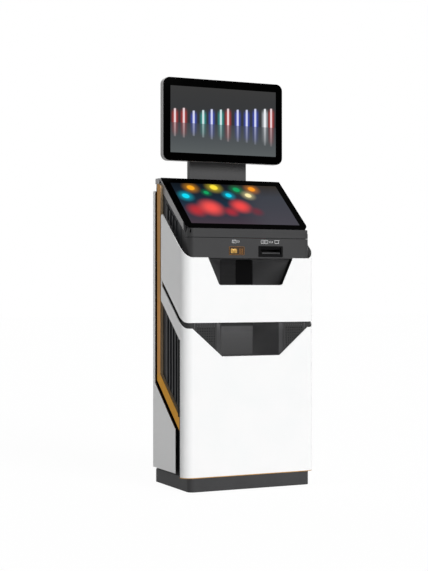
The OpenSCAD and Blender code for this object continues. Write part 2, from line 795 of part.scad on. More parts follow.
module computer_button() {
  color("#d5d7da") union() {
    rod_y(5, -50, 99, 113, shelf_z + 30);
    rod_y(7.5, -50, 101, 106.6, shelf_z + 30);
  }
}

module power_supply() {
  color("#7f8387") difference() {
    block(50, 200, -50, 80, shelf_z, shelf_z + 50);
    block(52, 198, -48, 78, shelf_z + 2, shelf_z + 48);
    for (i = [0:8]) block(62 + 14 * i, 70 + 14 * i, 70, 81, shelf_z + 10, shelf_z + 40);
  }
}

module fan_frame() {
  color("#222326") difference() {
    union() {
      difference() {
        block(fan_x - 46, fan_x + 46, fan_y - 12, fan_y + 13, fan_z - 46, fan_z + 46);
        rod_y(43.5, fan_x, fan_y - 13, fan_y + 14, fan_z);
      }
      for (a = [0, 90]) translate([fan_x, fan_y, fan_z]) rotate([0, a, 0]) block(-45, 45, 9.5, 13, -3, 3);
      rod_y(19, fan_x, fan_y + 8, fan_y + 13, fan_z);
      rod_y(3, fan_x, fan_y - 8, fan_y + 9, fan_z);
    }
    for (x = [-41, 41]) for (z = [-41, 41]) rod_y(2.2, fan_x + x, fan_y - 13, fan_y + 14, fan_z + z);
  }
}

module fan_rotor() {
  color("#2c2e31") difference() {
    union() {
      rod_y(20, fan_x, fan_y - 9, fan_y + 7, fan_z);
      for (i = [0:6]) translate([fan_x, fan_y - 1, fan_z]) rotate([0, i * 360 / 7, 0])
        translate([18, 0, 0]) rotate([38, 0, 0]) block(0, 22.5, -9, 9, -0.9, 0.9);
    }
    rod_y(3 + run, fan_x, fan_y - 10, fan_y + 9, fan_z);
  }
}

module inlet() {
  color("#1b1c1e") difference() {
    union() {
      block(inlet_x - 25, inlet_x + 25, rear_y, rear_y + 3, inlet_z - 30, inlet_z + 30);
      block(inlet_x - 19, inlet_x + 19, rear_y - 24, rear_y + 1, inlet_z - 23, inlet_z + 23);
    }
    block(inlet_x - 14, inlet_x + 14, rear_y - 14, rear_y + 4, inlet_z - 19, inlet_z + 1);
    block(inlet_x - 11, inlet_x + 11, rear_y - 10, rear_y + 4, inlet_z + 4, inlet_z + 22);
    rod_x(1.5 + run, inlet_x - 14, inlet_x + 14, rear_y - 1, inlet_z + 13);
  }
}

module rocker() {
  color("#c22c28") union() {
    translate([inlet_x, rear_y - 1, inlet_z + 13]) rotate([-7, 0, 0]) block(-10.4, 10.4, -5, 5, -7, 7);
    rod_x(1.5, inlet_x - 13, inlet_x + 13, rear_y - 1, inlet_z + 13);
  }
}

// Ticket printer on the lower niche's ceiling, with the paper's path from the roll down to the slot
module printer() {
  color("#3b3e42") difference() {
    union() {
      block(-55, 55, ticket_y - 30, ticket_y + 40, roll_z - 45, roll_z + 25);
      for (x = [-48, 44]) block(x, x + 4, ticket_y + 30, roll_y + 10, roll_z - 12, roll_z + 12);
      rod_x(6.5, -48, 48, roll_y, roll_z);
    }
    block(-42, 42, ticket_y - 4, ticket_y + 4, roll_z - 46, roll_z - 18);
    block(-42, 42, ticket_y - 4, ticket_y + 41, roll_z - 26, roll_z - 18);
    rod_z(4 + push_gap, 30, ticket_y, roll_z + 18, roll_z + 26);
  }
}

module paper_roll() {
  color("#f4f2ec") difference() {
    rod_x(36, -40, 40, roll_y, roll_z);
    rod_x(6.5 + run, -41, 41, roll_y, roll_z);
  }
}

module feed_button() {
  color("#3f8f57") rod_z(4, 30, ticket_y, roll_z + 20, roll_z + 27.5);
}

module screws() {
  color("#b9bcc0") {
    for (s = [-1, 1]) for (z = [1010, 1120, 1230, deck_z - 20])
      rod_y(4.5, s * (cx - 23), head_r - 4, head_r - 1.5, z);
    for (s = [-1, -0.33, 0.33, 1]) for (z = [80, 145]) rod_y(4.5, s * (cx - 23), rear_y, rear_y + 2.5, z);
  }
}

plinth();
base_plate();
base_trim();
carcass();
shelf();
upper_shell();
lower_shell();
belt();
trim_left();
trim_right();
rear_panel_left();
rear_panel_right();
louvre_left();
louvre_right();
upper_niche();
niche_collar();
scan_window();
scanner();
niche_panel();
lower_niche();
grille_left();
grille_right();
speaker_left();
speaker_right();
head_shell();
head_louvre_left();
head_louvre_right();
deck();
card_bezel();
card_reader();
note_bezel();
note_validator();
cash_box();
lid_tray();
lid_rim();
touch_glass();
touch_panel();
lid_knuckles();
hinge_lugs();
mast();
bracket();
monitor_case();
monitor_panel();
monitor_glass();
rear_door();
door_knuckles();
door_lugs();
lock_barrel();
lock_cam();
computer();
computer_button();
power_supply();
fan_frame();
fan_rotor();
inlet();
rocker();
printer();
paper_roll();
feed_button();
screws();
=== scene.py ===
# %% [markdown]
# # A self-service kiosk, dressed in Blender
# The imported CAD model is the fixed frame: every node is already in its place, in metres, with +Z up
# and the front facing -Y. This lesson gives each node the finish of the real thing and adds the small
# printed and turned pieces that are too fine for the CAD model.

# %% Load the frame
import math

import bmesh
import bpy
import numpy as np
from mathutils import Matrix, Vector


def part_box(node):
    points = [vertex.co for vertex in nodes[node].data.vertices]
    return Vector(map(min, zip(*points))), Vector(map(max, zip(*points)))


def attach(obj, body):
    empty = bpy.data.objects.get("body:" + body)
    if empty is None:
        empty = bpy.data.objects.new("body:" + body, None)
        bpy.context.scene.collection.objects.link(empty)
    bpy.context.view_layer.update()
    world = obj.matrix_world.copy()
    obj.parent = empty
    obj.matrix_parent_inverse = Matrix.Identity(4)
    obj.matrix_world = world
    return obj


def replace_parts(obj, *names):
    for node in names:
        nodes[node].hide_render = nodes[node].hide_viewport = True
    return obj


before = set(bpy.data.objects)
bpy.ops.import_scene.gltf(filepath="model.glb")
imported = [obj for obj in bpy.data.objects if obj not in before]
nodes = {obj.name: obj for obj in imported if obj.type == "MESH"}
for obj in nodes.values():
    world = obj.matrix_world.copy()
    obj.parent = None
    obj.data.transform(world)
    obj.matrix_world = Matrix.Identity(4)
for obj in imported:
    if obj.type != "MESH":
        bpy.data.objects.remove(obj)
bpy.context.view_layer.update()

# %% [markdown]
# ## Three helpers
# Colours are picked as sRGB hex values, as on a paint card, and the shader wants linear light, so one
# function turns the first into the second. A second one adds a shader node with its settings and links,
# which keeps a finish readable as a list of steps. The third opens a new finish.

# %% Colour, node and finish helpers
MM = 0.001


def linear(hex_code):
    """sRGB hex to linear RGBA: c / 12.92 in the toe, ((c + 0.055) / 1.055) ** 2.4 above it."""
    srgb = np.array([int(hex_code[i:i + 2], 16) for i in (1, 3, 5)]) / 255
    light = np.where(srgb <= 0.04045, srgb / 12.92, ((srgb + 0.055) / 1.055) ** 2.4)
    return (*light, 1.0)


def add(tree, kind, sockets=None, stops=None, **settings):
    """Adds a node, or takes one that is there: settings sit on it, sockets hold a value or a link each."""
    node = tree.nodes.new("ShaderNode" + kind) if isinstance(kind, str) else kind
    for key, value in settings.items():
        setattr(node, key, value)
    for i, (place, colour) in enumerate(stops or []):
        ramp = node.color_ramp.elements
        stop = ramp[i] if i < 2 else ramp.new(place)
        stop.position, stop.color = place, colour
    for key, value in (sockets or {}).items():
        if isinstance(value, bpy.types.NodeSocket):
            tree.links.new(value, node.inputs[key])
        else:
            node.inputs[key].default_value = value
    return node


def open_finish(name):
    """A material with a Principled shader on its output, and the object's own coordinates."""
    finish = bpy.data.materials.new(name)
    finish.use_nodes = True
    tree = finish.node_tree
    tree.nodes.clear()
    shader = add(tree, "BsdfPrincipled")
    add(tree, "OutputMaterial", {"Surface": shader.outputs[0]})
    return finish, tree, shader, add(tree, "TexCoord").outputs["Object"]


print("linear of mid grey:", [round(v, 3) for v in linear("#808080")])

# %% [markdown]
# ## Camera
# The photograph was taken a little to the left of the kiosk, from about 5.9 m, with a level camera at
# chest height. A level camera keeps uprights upright, so the place and the lens came from fitting the
# known edges, and no shift is needed.

# %% Camera
camera = bpy.data.objects.new("camera", bpy.data.cameras.new("camera"))
bpy.context.scene.collection.objects.link(camera)
camera.location = (-2.6014, -5.3098, 0.8793)
camera.rotation_euler = (math.radians(90), 0, math.radians(-25.3))
camera.data.sensor_width = 36
camera.data.lens = 83.65
bpy.context.scene.camera = camera
print("camera", camera.location[:], "lens", camera.data.lens)

# %% [markdown]
# ## Light and backdrop
# The real picture is a bright studio shot: the front is almost white, the left side a clear step darker.
# Lamps of a real studio would stand close and make uneven spots, so a broad sun lamp from the front right
# makes that step, the world fills the shadows, and a weaker lamp keeps the back readable. The backdrop
# is white only for the rays that look at it, so it puts no extra light on the paint.

# %% Light and world
scene = bpy.context.scene
scene.view_settings.view_transform = "Standard"
FILL_STRENGTH, BACKDROP_STRENGTH = 0.33, 1.0
LAMPS = (  # name, direction of the light, strength, spread in degrees
    ("key", (-0.24, 0.88, -0.36), 2.1, 30),
    ("back", (-0.25, -0.80, -0.55), 0.7, 60),
)
for name, aim, strength, spread in LAMPS:
    lamp = bpy.data.objects.new(name, bpy.data.lights.new(name, "SUN"))
    lamp.data.energy = strength
    lamp.data.angle = math.radians(spread)
    lamp.rotation_mode = "QUATERNION"
    lamp.rotation_quaternion = Vector(aim).to_track_quat("-Z", "Y")
    scene.collection.objects.link(lamp)


def looked_at(tree):
    """1 for a ray that looks, straight on, in a gloss or through a glass, and 0 for one that only lights."""
    ray = add(tree, "LightPath").outputs
    seen = add(tree, "Math", {0: ray["Is Camera Ray"], 1: ray["Is Glossy Ray"]}, operation="MAXIMUM").outputs[0]
    return add(tree, "Math", {0: seen, 1: ray["Is Transmission Ray"]}, operation="MAXIMUM").outputs[0]


scene.world = bpy.data.worlds.new("studio")
scene.world.use_nodes = True
sky = scene.world.node_tree
sky.nodes.clear()
fill = add(sky, "Background", {"Color": (1, 1, 1, 1), "Strength": FILL_STRENGTH})
white = add(sky, "Background", {"Color": (1, 1, 1, 1), "Strength": BACKDROP_STRENGTH})
both = add(sky, "MixShader", {0: looked_at(sky), 1: fill.outputs[0], 2: white.outputs[0]})
add(sky, "OutputWorld", {"Surface": both.outputs[0]})

# %% [markdown]
# ## Putting a worked-out surface into a mesh
# New pieces are grids of points: rows follow one parameter and columns the other. One function numbers
# the quads of such a grid, with either direction closed on itself if asked, and another puts the points
# into a mesh, merges the points that meet at seams and poles, and turns the faces outwards.

# %% Grid and mesh helpers


def grid_faces(rows, columns, close_rows=False, close_columns=False):
    """Quad (i, j), (i+1, j), (i+1, j+1), (i, j+1) for every cell; closed directions wrap round."""
    i, j = np.indices((rows - (not close_rows), columns - (not close_columns)))
    k, m = (i + 1) % rows, (j + 1) % columns
    quads = [i * columns + j, k * columns + j, k * columns + m, i * columns + m]
    return np.stack(quads, -1).reshape(-1, 4)


def put_mesh(name, points, faces, finish):
    """Points in metres and quads into an object at the origin."""
    mesh = bpy.data.meshes.new(name)
    points = np.asarray(points, float).reshape(-1, 3)
    mesh.from_pydata(points.tolist(), [], faces.tolist())
    work = bmesh.new()
    work.from_mesh(mesh)
    bmesh.ops.remove_doubles(work, verts=work.verts, dist=1e-6)
    bmesh.ops.recalc_face_normals(work, faces=work.faces)
    work.to_mesh(mesh)
    work.free()
    piece = bpy.data.objects.new(name, mesh)
    scene.collection.objects.link(piece)
    mesh.materials.append(finish)
    print(name, len(mesh.vertices), "points", len(mesh.polygons), "faces")
    return piece


print("a grid of 3 x 4 points has", len(grid_faces(3, 4)), "quads")

# %% [markdown]
# ## Floor
# The floor is a plain pale sheet. It takes the kiosk's shadow and throws the lamps' light back up at the
# kiosk. Only where it is looked at, most of it is a glow as white as the backdrop, but not under the
# plinth, where no light comes in. More light on a white sheet would do the same, and bleach the kiosk.

# %% Floor
UNDER_PLINTH = (285, 172)                # half width and half depth in millimetres
GLOW_SHARE, GLOW_STRENGTH = 0.93, 1.03
FLOOR_REACH, FLOOR_DROP = 30.0, 0.0005   # metres
floor_paint = bpy.data.materials.new("pale_floor")
floor_paint.use_nodes = True
tree = floor_paint.node_tree
tree.nodes.clear()
axes = add(tree, "SeparateXYZ", {"Vector": add(tree, "TexCoord").outputs["Object"]}).outputs
under = [add(tree, "Math", {0: axis, 1: 0.0, 2: half * MM}, operation="COMPARE").outputs[0]
         for axis, half in zip(axes, UNDER_PLINTH)]
under = add(tree, "Math", {0: under[0], 1: under[1]}, operation="MULTIPLY").outputs[0]
open_air = add(tree, "Math", {0: looked_at(tree), 1: under}, operation="SUBTRACT", use_clamp=True).outputs[0]
share = add(tree, "Math", {0: open_air, 1: GLOW_SHARE}, operation="MULTIPLY").outputs[0]
matt = add(tree, "BsdfDiffuse", {"Color": linear("#e3e3e3")}).outputs[0]
glow = add(tree, "Emission", {"Color": (1, 1, 1, 1), "Strength": GLOW_STRENGTH}).outputs[0]
lift = add(tree, "MixShader", {0: share, 1: matt, 2: glow}).outputs[0]
add(tree, "OutputMaterial", {"Surface": lift})
across, along = np.meshgrid([-FLOOR_REACH, FLOOR_REACH], [-FLOOR_REACH, FLOOR_REACH], indexing="ij")
sheet = np.stack([across, along, np.full_like(across, -FLOOR_DROP)], -1)
floor = put_mesh("floor", sheet, grid_faces(2, 2), floor_paint)

# %% [markdown]
# ## Powder coat
# The sheet steel pieces are powder coated: a dry paint that melts into a skin about 0.1 mm thick. White
# shells are satin with a faint orange peel, charcoal and black pieces have a fine sandy grain. The peel
# of a real coat is about 2 mm across and the grain 0.5 mm; both are drawn coarser, or they would vanish
# at this distance. The skin draws back from sharp edges, so a rounded normal catches the light there,
# and a worn line shows on the dark coats. In the niches the paint changes with depth: the lower one
# ends in a paler back wall, which is painted light, the upper one in a darker back wall, painted shade.
# An image could hold all this, but noise worked out from the place needs no unwrapping and no file.

# %% Powder coat finishes
COAT_DRIFT, COAT_EDGE, COAT_RELIEF = 150, 1.2, 0.4      # millimetres
WORN_FROM, WORN_TO, WORN_MOST = 0.97, 0.80, 0.45        # cosines of the edge's turn, and the tint's share


def powder_coat(name, low, high, grain_mm, bump, rough, level, edge=None, deep=None):
    """Colour drifts from low to high, grain makes bump and gloss, and edge is the worn tint. With deep,
    paint and gloss change over a range of y in millimetres to those of the far walls: painted light in
    the lower niche and painted shade in the upper one."""
    finish, tree, shader, place = open_finish(name)
    drift = add(tree, "TexNoise", {"Vector": place, "Scale": 1 / (COAT_DRIFT * MM), "Detail": 3.0})
    tone = add(tree, "ValToRGB", {"Fac": drift.outputs["Fac"]}, [(0.35, linear(low)), (0.65, linear(high))])
    grain = add(tree, "TexNoise", {"Vector": place, "Scale": 1 / (grain_mm * MM), "Detail": 2.0}).outputs["Fac"]
    gloss = add(tree, "MapRange", {"Value": grain, "To Min": rough - 0.06, "To Max": rough + 0.06}).outputs[0]
    round_edge = add(tree, "Bevel", {"Radius": COAT_EDGE * MM}, samples=4).outputs[0]
    relief = add(tree, "Bump", {"Height": grain, "Normal": round_edge, "Strength": bump,
                                "Distance": COAT_RELIEF * MM}).outputs[0]
    colour = tone.outputs["Color"]
    if edge:
        face = add(tree, "NewGeometry").outputs["Normal"]
        flat = add(tree, "VectorMath", {0: round_edge, 1: face}, operation="DOT_PRODUCT").outputs["Value"]
        worn = add(tree, "MapRange", {"Value": flat, "From Min": WORN_FROM, "From Max": WORN_TO,
                                      "To Min": 0.0, "To Max": WORN_MOST}).outputs[0]
        colour = add(tree, "Mix", {0: worn, 6: colour, 7: linear(edge)}, data_type="RGBA").outputs[2]
    add(tree, shader, {"Base Color": colour, "Roughness": gloss, "Normal": relief,
                       "Specular IOR Level": level, "IOR": 1.5})
    if deep:
        front, back, tint, shine = deep
        inwards = add(tree, "SeparateXYZ", {"Vector": place}).outputs[1]
        far = add(tree, "MapRange", {"Value": inwards, "From Min": front * MM, "From Max": back * MM}).outputs[0]
        colour = add(tree, "Mix", {0: far, 6: colour, 7: linear(tint)}, data_type="RGBA").outputs[2]
        gleam = add(tree, "MapRange", {"Value": far, "To Min": level, "To Max": shine}).outputs[0]
        add(tree, shader, {"Base Color": colour, "Specular IOR Level": gleam})
    return finish


# Low and high tint, grain in millimetres, bump, roughness, specular level and worn tint
WHITE = ("#f4f5f5", "#f6f6f6", 7, 0.03, 0.40, 0.25)
CHARCOAL = ("#2a2a2b", "#2e2e2f", 3, 0.12, 0.55, 0.29, "#464647")
white_coat = powder_coat("white_satin_powder_coat", *WHITE)
shell_shadow_coat = powder_coat("white_coat_painted_shadow_edge", *WHITE)
charcoal_coat = powder_coat("charcoal_grained_powder_coat", *CHARCOAL)
head_coat = powder_coat("charcoal_coat_with_silver_corners", *CHARCOAL)
dark_coat = powder_coat("dark_matt_powder_coat", "#1a1a1b", "#1e1e1f", 3, 0.12, 0.55, 0.33, "#323233")
plinth_coat = powder_coat("charcoal_scuff_proof_powder_coat", "#373738", "#3b3b3c", 3, 0.15, 0.6, 0.23, "#4e4e4f")
# Painted light: the mast and bracket get a paler grey than the charcoal, lifting the shade under the upright screen.
grey_coat = powder_coat("grey_matt_powder_coat", "#363637", "#3a3a3b", 3, 0.12, 0.55, 0.34, "#4c4c4d")
# Painted light and shade by depth: the lower niche's back wall is painted paler, the upper niche's darker.
niche_light_coat = powder_coat("mid_grey_coat_painted_niche_light", "#3a3a3b", "#3e3e3f", 3, 0.12, 0.6, 0.2,
                         deep=(-172, -50, "#5a5a5b", 0.26))
scan_light_shade_coat = powder_coat("grey_coat_painted_scanner_niche_light_and_shade", "#404041", "#444445", 3, 0.12, 0.55, 0.3,
                        deep=(-41, -38, "#2f2f30", 0.1))
louvre_coat = powder_coat("blue_black_powder_coat", "#1b1d20", "#202225", 3, 0.12, 0.5, 0.3, "#3a3c40")
# Painted shade: the carcass's own dark coat is deepened to near black so the slots between the shells read as shade.
carcass_shade_coat = powder_coat("deep_black_coat_painted_shade", "#0c0c0d", "#101011", 3, 0.12, 0.65, 0.07, "#202021")
black_coat = powder_coat("black_matt_powder_coat", "#0c0c0d", "#111112", 3, 0.12, 0.65, 0.1)
case_coat = powder_coat("grey_case_powder_coat", "#5b5e62", "#63666a", 3, 0.12, 0.5, 0.3, "#85888c")
print("powder coats:", [m.name for m in bpy.data.materials if "coat" in m.name])

# %% [markdown]
# The two niche coats carry painted light and shade. The niches look evenly grey up to their ceilings,
# although less light comes in there. Lamps inside would light the rest too, so the paint does it: painted
# light pales them towards the ceiling, painted shade darkens the floor of the back wall. A gain that
# follows the height multiplies the paint, and in the upper niche another one follows the depth.

# %% Niche coats with painted light and shade


def paint_over(finish):
    """Opens a finish again: its tree, its shader, the three coordinates and the paint so far."""
    tree = finish.node_tree
    shader = tree.nodes["Principled BSDF"]
    axes = add(tree, "SeparateXYZ", {"Vector": add(tree, "TexCoord").outputs["Object"]}).outputs
    return tree, shader, axes, shader.inputs["Base Color"].links[0].from_socket


def gain_along(tree, axis, stops):
    """A gain that follows one coordinate: stops pair a place in millimetres with a gain, or one per channel."""
    low, high = stops[0][0], stops[-1][0]
    way = add(tree, "MapRange", {"Value": axis, "From Min": low * MM, "From Max": high * MM}).outputs[0]
    gains = [((place - low) / (high - low), (*np.broadcast_to(gain, 3), 1.0)) for place, gain in stops]
    return add(tree, "ValToRGB", {"Fac": way}, gains).outputs["Color"]


def paint_niche_light_and_shade(finish, back_y, side_rise, back_rise, side_depth=None):
    """Painted light and shade: paint times gain; the side walls' gain follows z, and y where given, and the
    wall behind back_y has its own.
    """
    tree, shader, axes, coat = paint_over(finish)
    sides = gain_along(tree, axes[2], side_rise)
    if side_depth:
        inwards = gain_along(tree, axes[1], side_depth)
        sides = add(tree, "VectorMath", {0: sides, 1: inwards}, operation="MULTIPLY").outputs[0]
    back = gain_along(tree, axes[2], back_rise)
    at_back = add(tree, "Math", {0: axes[1], 1: back_y * MM}, operation="GREATER_THAN").outputs[0]
    gain = add(tree, "Mix", {0: at_back, 6: sides, 7: back}, data_type="RGBA").outputs[2]
    paint = add(tree, "VectorMath", {0: coat, 1: gain}, operation="MULTIPLY").outputs[0]
    add(tree, shader, {"Base Color": paint})


# Painted light and shade: gains over 1 pale the paint towards the ceilings, gains under 1 darken it below.
paint_niche_light_and_shade(niche_light_coat, back_y=-46.5,
      side_rise=[(585, 1.3), (605, 1.18), (640, 1.06), (665, 1.12), (685, 1.28), (712, 2.0)],
      back_rise=[(585, 0.54), (620, 0.6), (645, 0.79), (664, 1.2), (682, 1.98), (697, 3.4), (703, 1.3)])
paint_niche_light_and_shade(scan_light_shade_coat, back_y=-38,
      side_rise=[(899, 0.87), (920, 0.81), (937, 0.85), (955, 1.06), (972, 1.55), (989, 2.5)],
      back_rise=[(899, 0.42), (920, 0.48), (937, 0.68), (955, 1.2), (972, 2.05), (989, 2.9)],
      side_depth=[(-150, 0.72), (-100, 1.0), (-40, 1.42)])
print("graded:", niche_light_coat.name, scan_light_shade_coat.name)

# %% [markdown]
# Two coats have a patch in another tint. The head is charcoal but for its rear upper corners, where the
# silver of the deck and of the lid's rim goes on round the side. The lower shell's rear edge is painted
# black under the arm, like the seal behind it: a painted shadow of the gap there. Each sheet is one piece,
# so the paint changes and not the shape: a patch is a box of places on the sheet, alike on both sides.

# %% Patched coats


def patch(finish, low, high, tint):
    """Paints the places between two corners, given in millimetres for |x|, y and z, in another tint."""
    tree, shader, axes, coat = paint_over(finish)
    out = add(tree, "Math", {0: axes[0]}, operation="ABSOLUTE").outputs[0]
    mask = 1.0
    for axis, a, b in zip((out, axes[1], axes[2]), low, high):
        middle, half = (a + b) / 2 * MM, (b - a) / 2 * MM
        within = add(tree, "Math", {0: axis, 1: middle, 2: half}, operation="COMPARE").outputs[0]
        mask = add(tree, "Math", {0: within, 1: mask}, operation="MULTIPLY").outputs[0]
    paint = add(tree, "Mix", {0: mask, 6: coat, 7: linear(tint)}, data_type="RGBA").outputs[2]
    add(tree, shader, {"Base Color": paint})


patch(head_coat, low=(292.5, 85, 1318), high=(330, 200, 1400), tint="#a3a2a1")
# Painted shadow: a black band on the lower shell's rear edge, under the arm.
patch(shell_shadow_coat, low=(300, -144.5, 0), high=(330, -138.5, 648), tint="#060606")
print("patched:", head_coat.name, shell_shadow_coat.name)

# %% [markdown]
# ## Gold and silver trims
# The gold strips are brushed aluminium, anodised in a gold dye: a metal whose fine brush lines run along
# the strip. The slanted lengths catch the light otherwise than the upright ones, so a gain that follows
# the height tints the dye deeper on the slanted lengths: painted light and shade. The strips' folded
# edges behind the face are painted a warm grey, paler than the shade in their channel: painted light.
# The screens' rims and the deck are painted in a satin silver, clear lacquer over small flakes that glint
# one by one. Brush lines are about 0.2 mm apart and flakes 0.1 mm wide; both are drawn at a few
# millimetres to show.

# %% Gold anodised aluminium
BRUSH_APART, BRUSH_LONG = 2.5, 160      # millimetres
FOLD_X, FOLD_HALF = 298, 8              # middle and half width of the folds in |x|
BASE_TOP = 70                           # the base trim lies below this height and has no folds
gold, tree, shader, place = open_finish("gold_anodised_brushed_aluminium")
stretch = add(tree, "Mapping", {"Vector": place, "Scale": (
    1 / (BRUSH_APART * MM), 1 / (BRUSH_APART * MM), 1 / (BRUSH_LONG * MM))}).outputs[0]
brush = add(tree, "TexNoise", {"Vector": stretch, "Scale": 1.0, "Detail": 3.0}).outputs["Fac"]
dye_and_painted_light = add(tree, "ValToRGB", {"Fac": brush}, [(0.3, linear("#9e784a")), (0.7, linear("#b28b5c"))]).outputs["Color"]
axes = add(tree, "SeparateXYZ", {"Vector": place}).outputs
# Painted light and shade: a gain that follows the height tints the gold deeper on the slanted lengths.
shade = gain_along(tree, axes[2], [(470, (1.19, 1.14, 0.76)), (500.4, (1.07, 1.05, 1.28)),
                                   (793, (1.07, 1.05, 1.28)), (850, (0.9, 0.96, 1.33))])
dye_and_painted_light = add(tree, "VectorMath", {0: dye_and_painted_light, 1: shade}, operation="MULTIPLY").outputs[0]
out = add(tree, "Math", {0: axes[0]}, operation="ABSOLUTE").outputs[0]
inner = add(tree, "Math", {0: out, 1: FOLD_X * MM, 2: FOLD_HALF * MM}, operation="COMPARE").outputs[0]
above = add(tree, "Math", {0: axes[2], 1: BASE_TOP * MM}, operation="GREATER_THAN").outputs[0]
fold_painted_light = add(tree, "Math", {0: inner, 1: above}, operation="MULTIPLY").outputs[0]
# Painted light: the folds get a pale warm grey that lifts the shade in their narrow channel.
paint = add(tree, "Mix", {0: fold_painted_light, 6: dye_and_painted_light, 7: linear("#ab977c")}, data_type="RGBA").outputs[2]
metal = add(tree, "MapRange", {"Value": fold_painted_light, "To Min": 0.85, "To Max": 0.0}).outputs[0]
gloss = add(tree, "MapRange", {"Value": brush, "To Min": 0.34, "To Max": 0.5}).outputs[0]
edge = add(tree, "Bevel", {"Radius": 1.0 * MM}, samples=4).outputs[0]
relief = add(tree, "Bump", {"Height": brush, "Normal": edge, "Strength": 0.08, "Distance": 0.2 * MM}).outputs[0]
add(tree, shader, {"Base Color": paint, "Roughness": gloss, "Normal": relief, "Metallic": metal,
                   "Specular Tint": linear("#dcb878"), "Specular IOR Level": 0.3})
print("trim:", gold.name)

# %% Silver lacquer
FLAKE, SILVER_DRIFT = 2.2, 90            # millimetres
silver, tree, shader, place = open_finish("silver_flake_lacquer")
flake = add(tree, "TexVoronoi", {"Vector": place, "Scale": 1 / (FLAKE * MM)})
drift = add(tree, "TexNoise", {"Vector": place, "Scale": 1 / (SILVER_DRIFT * MM), "Detail": 2.0})
glint = add(tree, "SeparateColor", {"Color": flake.outputs["Color"]}).outputs
blend = add(tree, "Mix", {0: 0.25, 2: drift.outputs["Fac"], 3: glint[0]}, data_type="FLOAT").outputs[0]
tone = add(tree, "ValToRGB", {"Fac": blend}, [(0.25, linear("#868585")), (0.75, linear("#8f8e8e"))])
gloss = add(tree, "MapRange", {"Value": glint[1], "To Min": 0.32, "To Max": 0.46}).outputs[0]
edge = add(tree, "Bevel", {"Radius": 1.2 * MM}, samples=4).outputs[0]
add(tree, shader, {"Base Color": tone.outputs["Color"], "Roughness": gloss, "Normal": edge,
                   "Metallic": 0.35, "Specular IOR Level": 0.4})
print("trim:", silver.name)

# %% [markdown]
# ## Cover glass with a lit picture
# Each screen is a sheet of black printed glass with a clear window, and the display behind it shows a
# plain pattern of lights. A picture on a sheet could be an image; here it is worked out by nodes from the
# place on the glass, so it stays sharp and goes with the lid. A Mapping node turns the object's
# coordinates into millimetres along the glass, and a mask keeps the light inside the window and on the
# front face.

# %% Window of a screen
WINDOW_HALF, SMEAR = 263.5, 60           # millimetres: half the window's width, and finger marks


def screen_glass(name, corner, tilt, low, high):
    """Opens a glass finish; gives metres across, share up the window from 0 to 1, and the window's mask."""
    finish, tree, shader, place = open_finish(name)
    on_glass = add(tree, "Mapping", {"Vector": place, "Location": corner, "Rotation": (tilt, 0, 0)},
                   vector_type="TEXTURE").outputs[0]
    axes = add(tree, "SeparateXYZ", {"Vector": on_glass}).outputs
    share = add(tree, "MapRange", {"Value": axes[1], "From Min": low * MM, "From Max": high * MM},
                clamp=False).outputs[0]
    side = add(tree, "Math", {0: axes[0], 1: 0.0, 2: WINDOW_HALF * MM}, operation="COMPARE").outputs[0]
    tall = add(tree, "Math", {0: share, 1: 0.5, 2: 0.5}, operation="COMPARE").outputs[0]
    front = add(tree, "Math", {0: axes[2], 1: -0.5 * MM}, operation="GREATER_THAN").outputs[0]
    window = add(tree, "Math", {0: side, 1: tall}, operation="MULTIPLY").outputs[0]
    window = add(tree, "Math", {0: window, 1: front}, operation="MULTIPLY").outputs[0]
    smear = add(tree, "TexNoise", {"Vector": place, "Scale": 1 / (SMEAR * MM), "Detail": 4.0})
    gloss = add(tree, "MapRange", {"Value": smear.outputs["Fac"], "To Min": 0.05, "To Max": 0.16}).outputs[0]
    add(tree, shader, {"Base Color": linear("#010101"), "Roughness": gloss,
                       "Specular IOR Level": 0.004, "IOR": 1.5})
    return finish, tree, shader, axes, share, window


print("a window is", 2 * WINDOW_HALF, "mm wide")

# %% [markdown]
# The touch screen shows soft round lights, out of focus, over a ground that goes from navy to slate. The
# distance from a light's middle draws it: a wide red glow fades over its whole radius, a small disc has a
# firm edge and a halo. The list gives place, radius and colour of each, in millimetres on the glass.

# %% Touch screen picture
HALO_WIDE, HALO_STRENGTH = 2.4, 0.45
touch_glass, tree, shader, axes, share, window = screen_glass(
    "touch_cover_glass", corner=(0, -165 * MM, 1126 * MM), tilt=math.radians(39.4), low=32.8, high=329.3)
flat = add(tree, "CombineXYZ", {0: axes[0], 1: axes[1]}).outputs[0]
left = add(tree, "MapRange", {"Value": axes[0], "From Min": 150 * MM, "From Max": -40 * MM},
           interpolation_type="SMOOTHSTEP").outputs[0]
night = add(tree, "ValToRGB", {"Fac": share}, [
    (0.0, linear("#463a44")), (0.5, linear("#1f3040")), (1.0, linear("#11161c"))]).outputs[0]
slate = add(tree, "ValToRGB", {"Fac": share}, [
    (0.0, linear("#48464e")), (0.7, linear("#3e4149")), (1.0, linear("#35302b"))]).outputs[0]
lights = add(tree, "Mix", {0: left, 6: slate, 7: night}, data_type="RGBA").outputs[2]
glows = [(-205, 128, 62, "#b8323a"), (-128, 150, 78, "#fb5450"), (-40, 122, 46, "#a52f3c"),
         (22, 165, 66, "#f44b4a"), (88, 128, 44, "#6d3440")]
discs = [(-222, 232, 21, "#14e0fa"), (-176, 296, 22, "#ffab24"), (-112, 262, 15, "#17a160"),
         (-60, 304, 23, "#ffe640"), (-8, 246, 18, "#14d6f4"), (48, 292, 20, "#17a160"),
         (92, 250, 19, "#fff0b0"), (128, 300, 21, "#ff9a26")]
spots = [(x, up, radius, hue, 0.9, 1.0) for x, up, radius, hue in glows]
spots += [(x, up, HALO_WIDE * radius, hue, 1.0, HALO_STRENGTH) for x, up, radius, hue in discs]
spots += [(x, up, radius, hue, 0.4, 1.0) for x, up, radius, hue in discs]
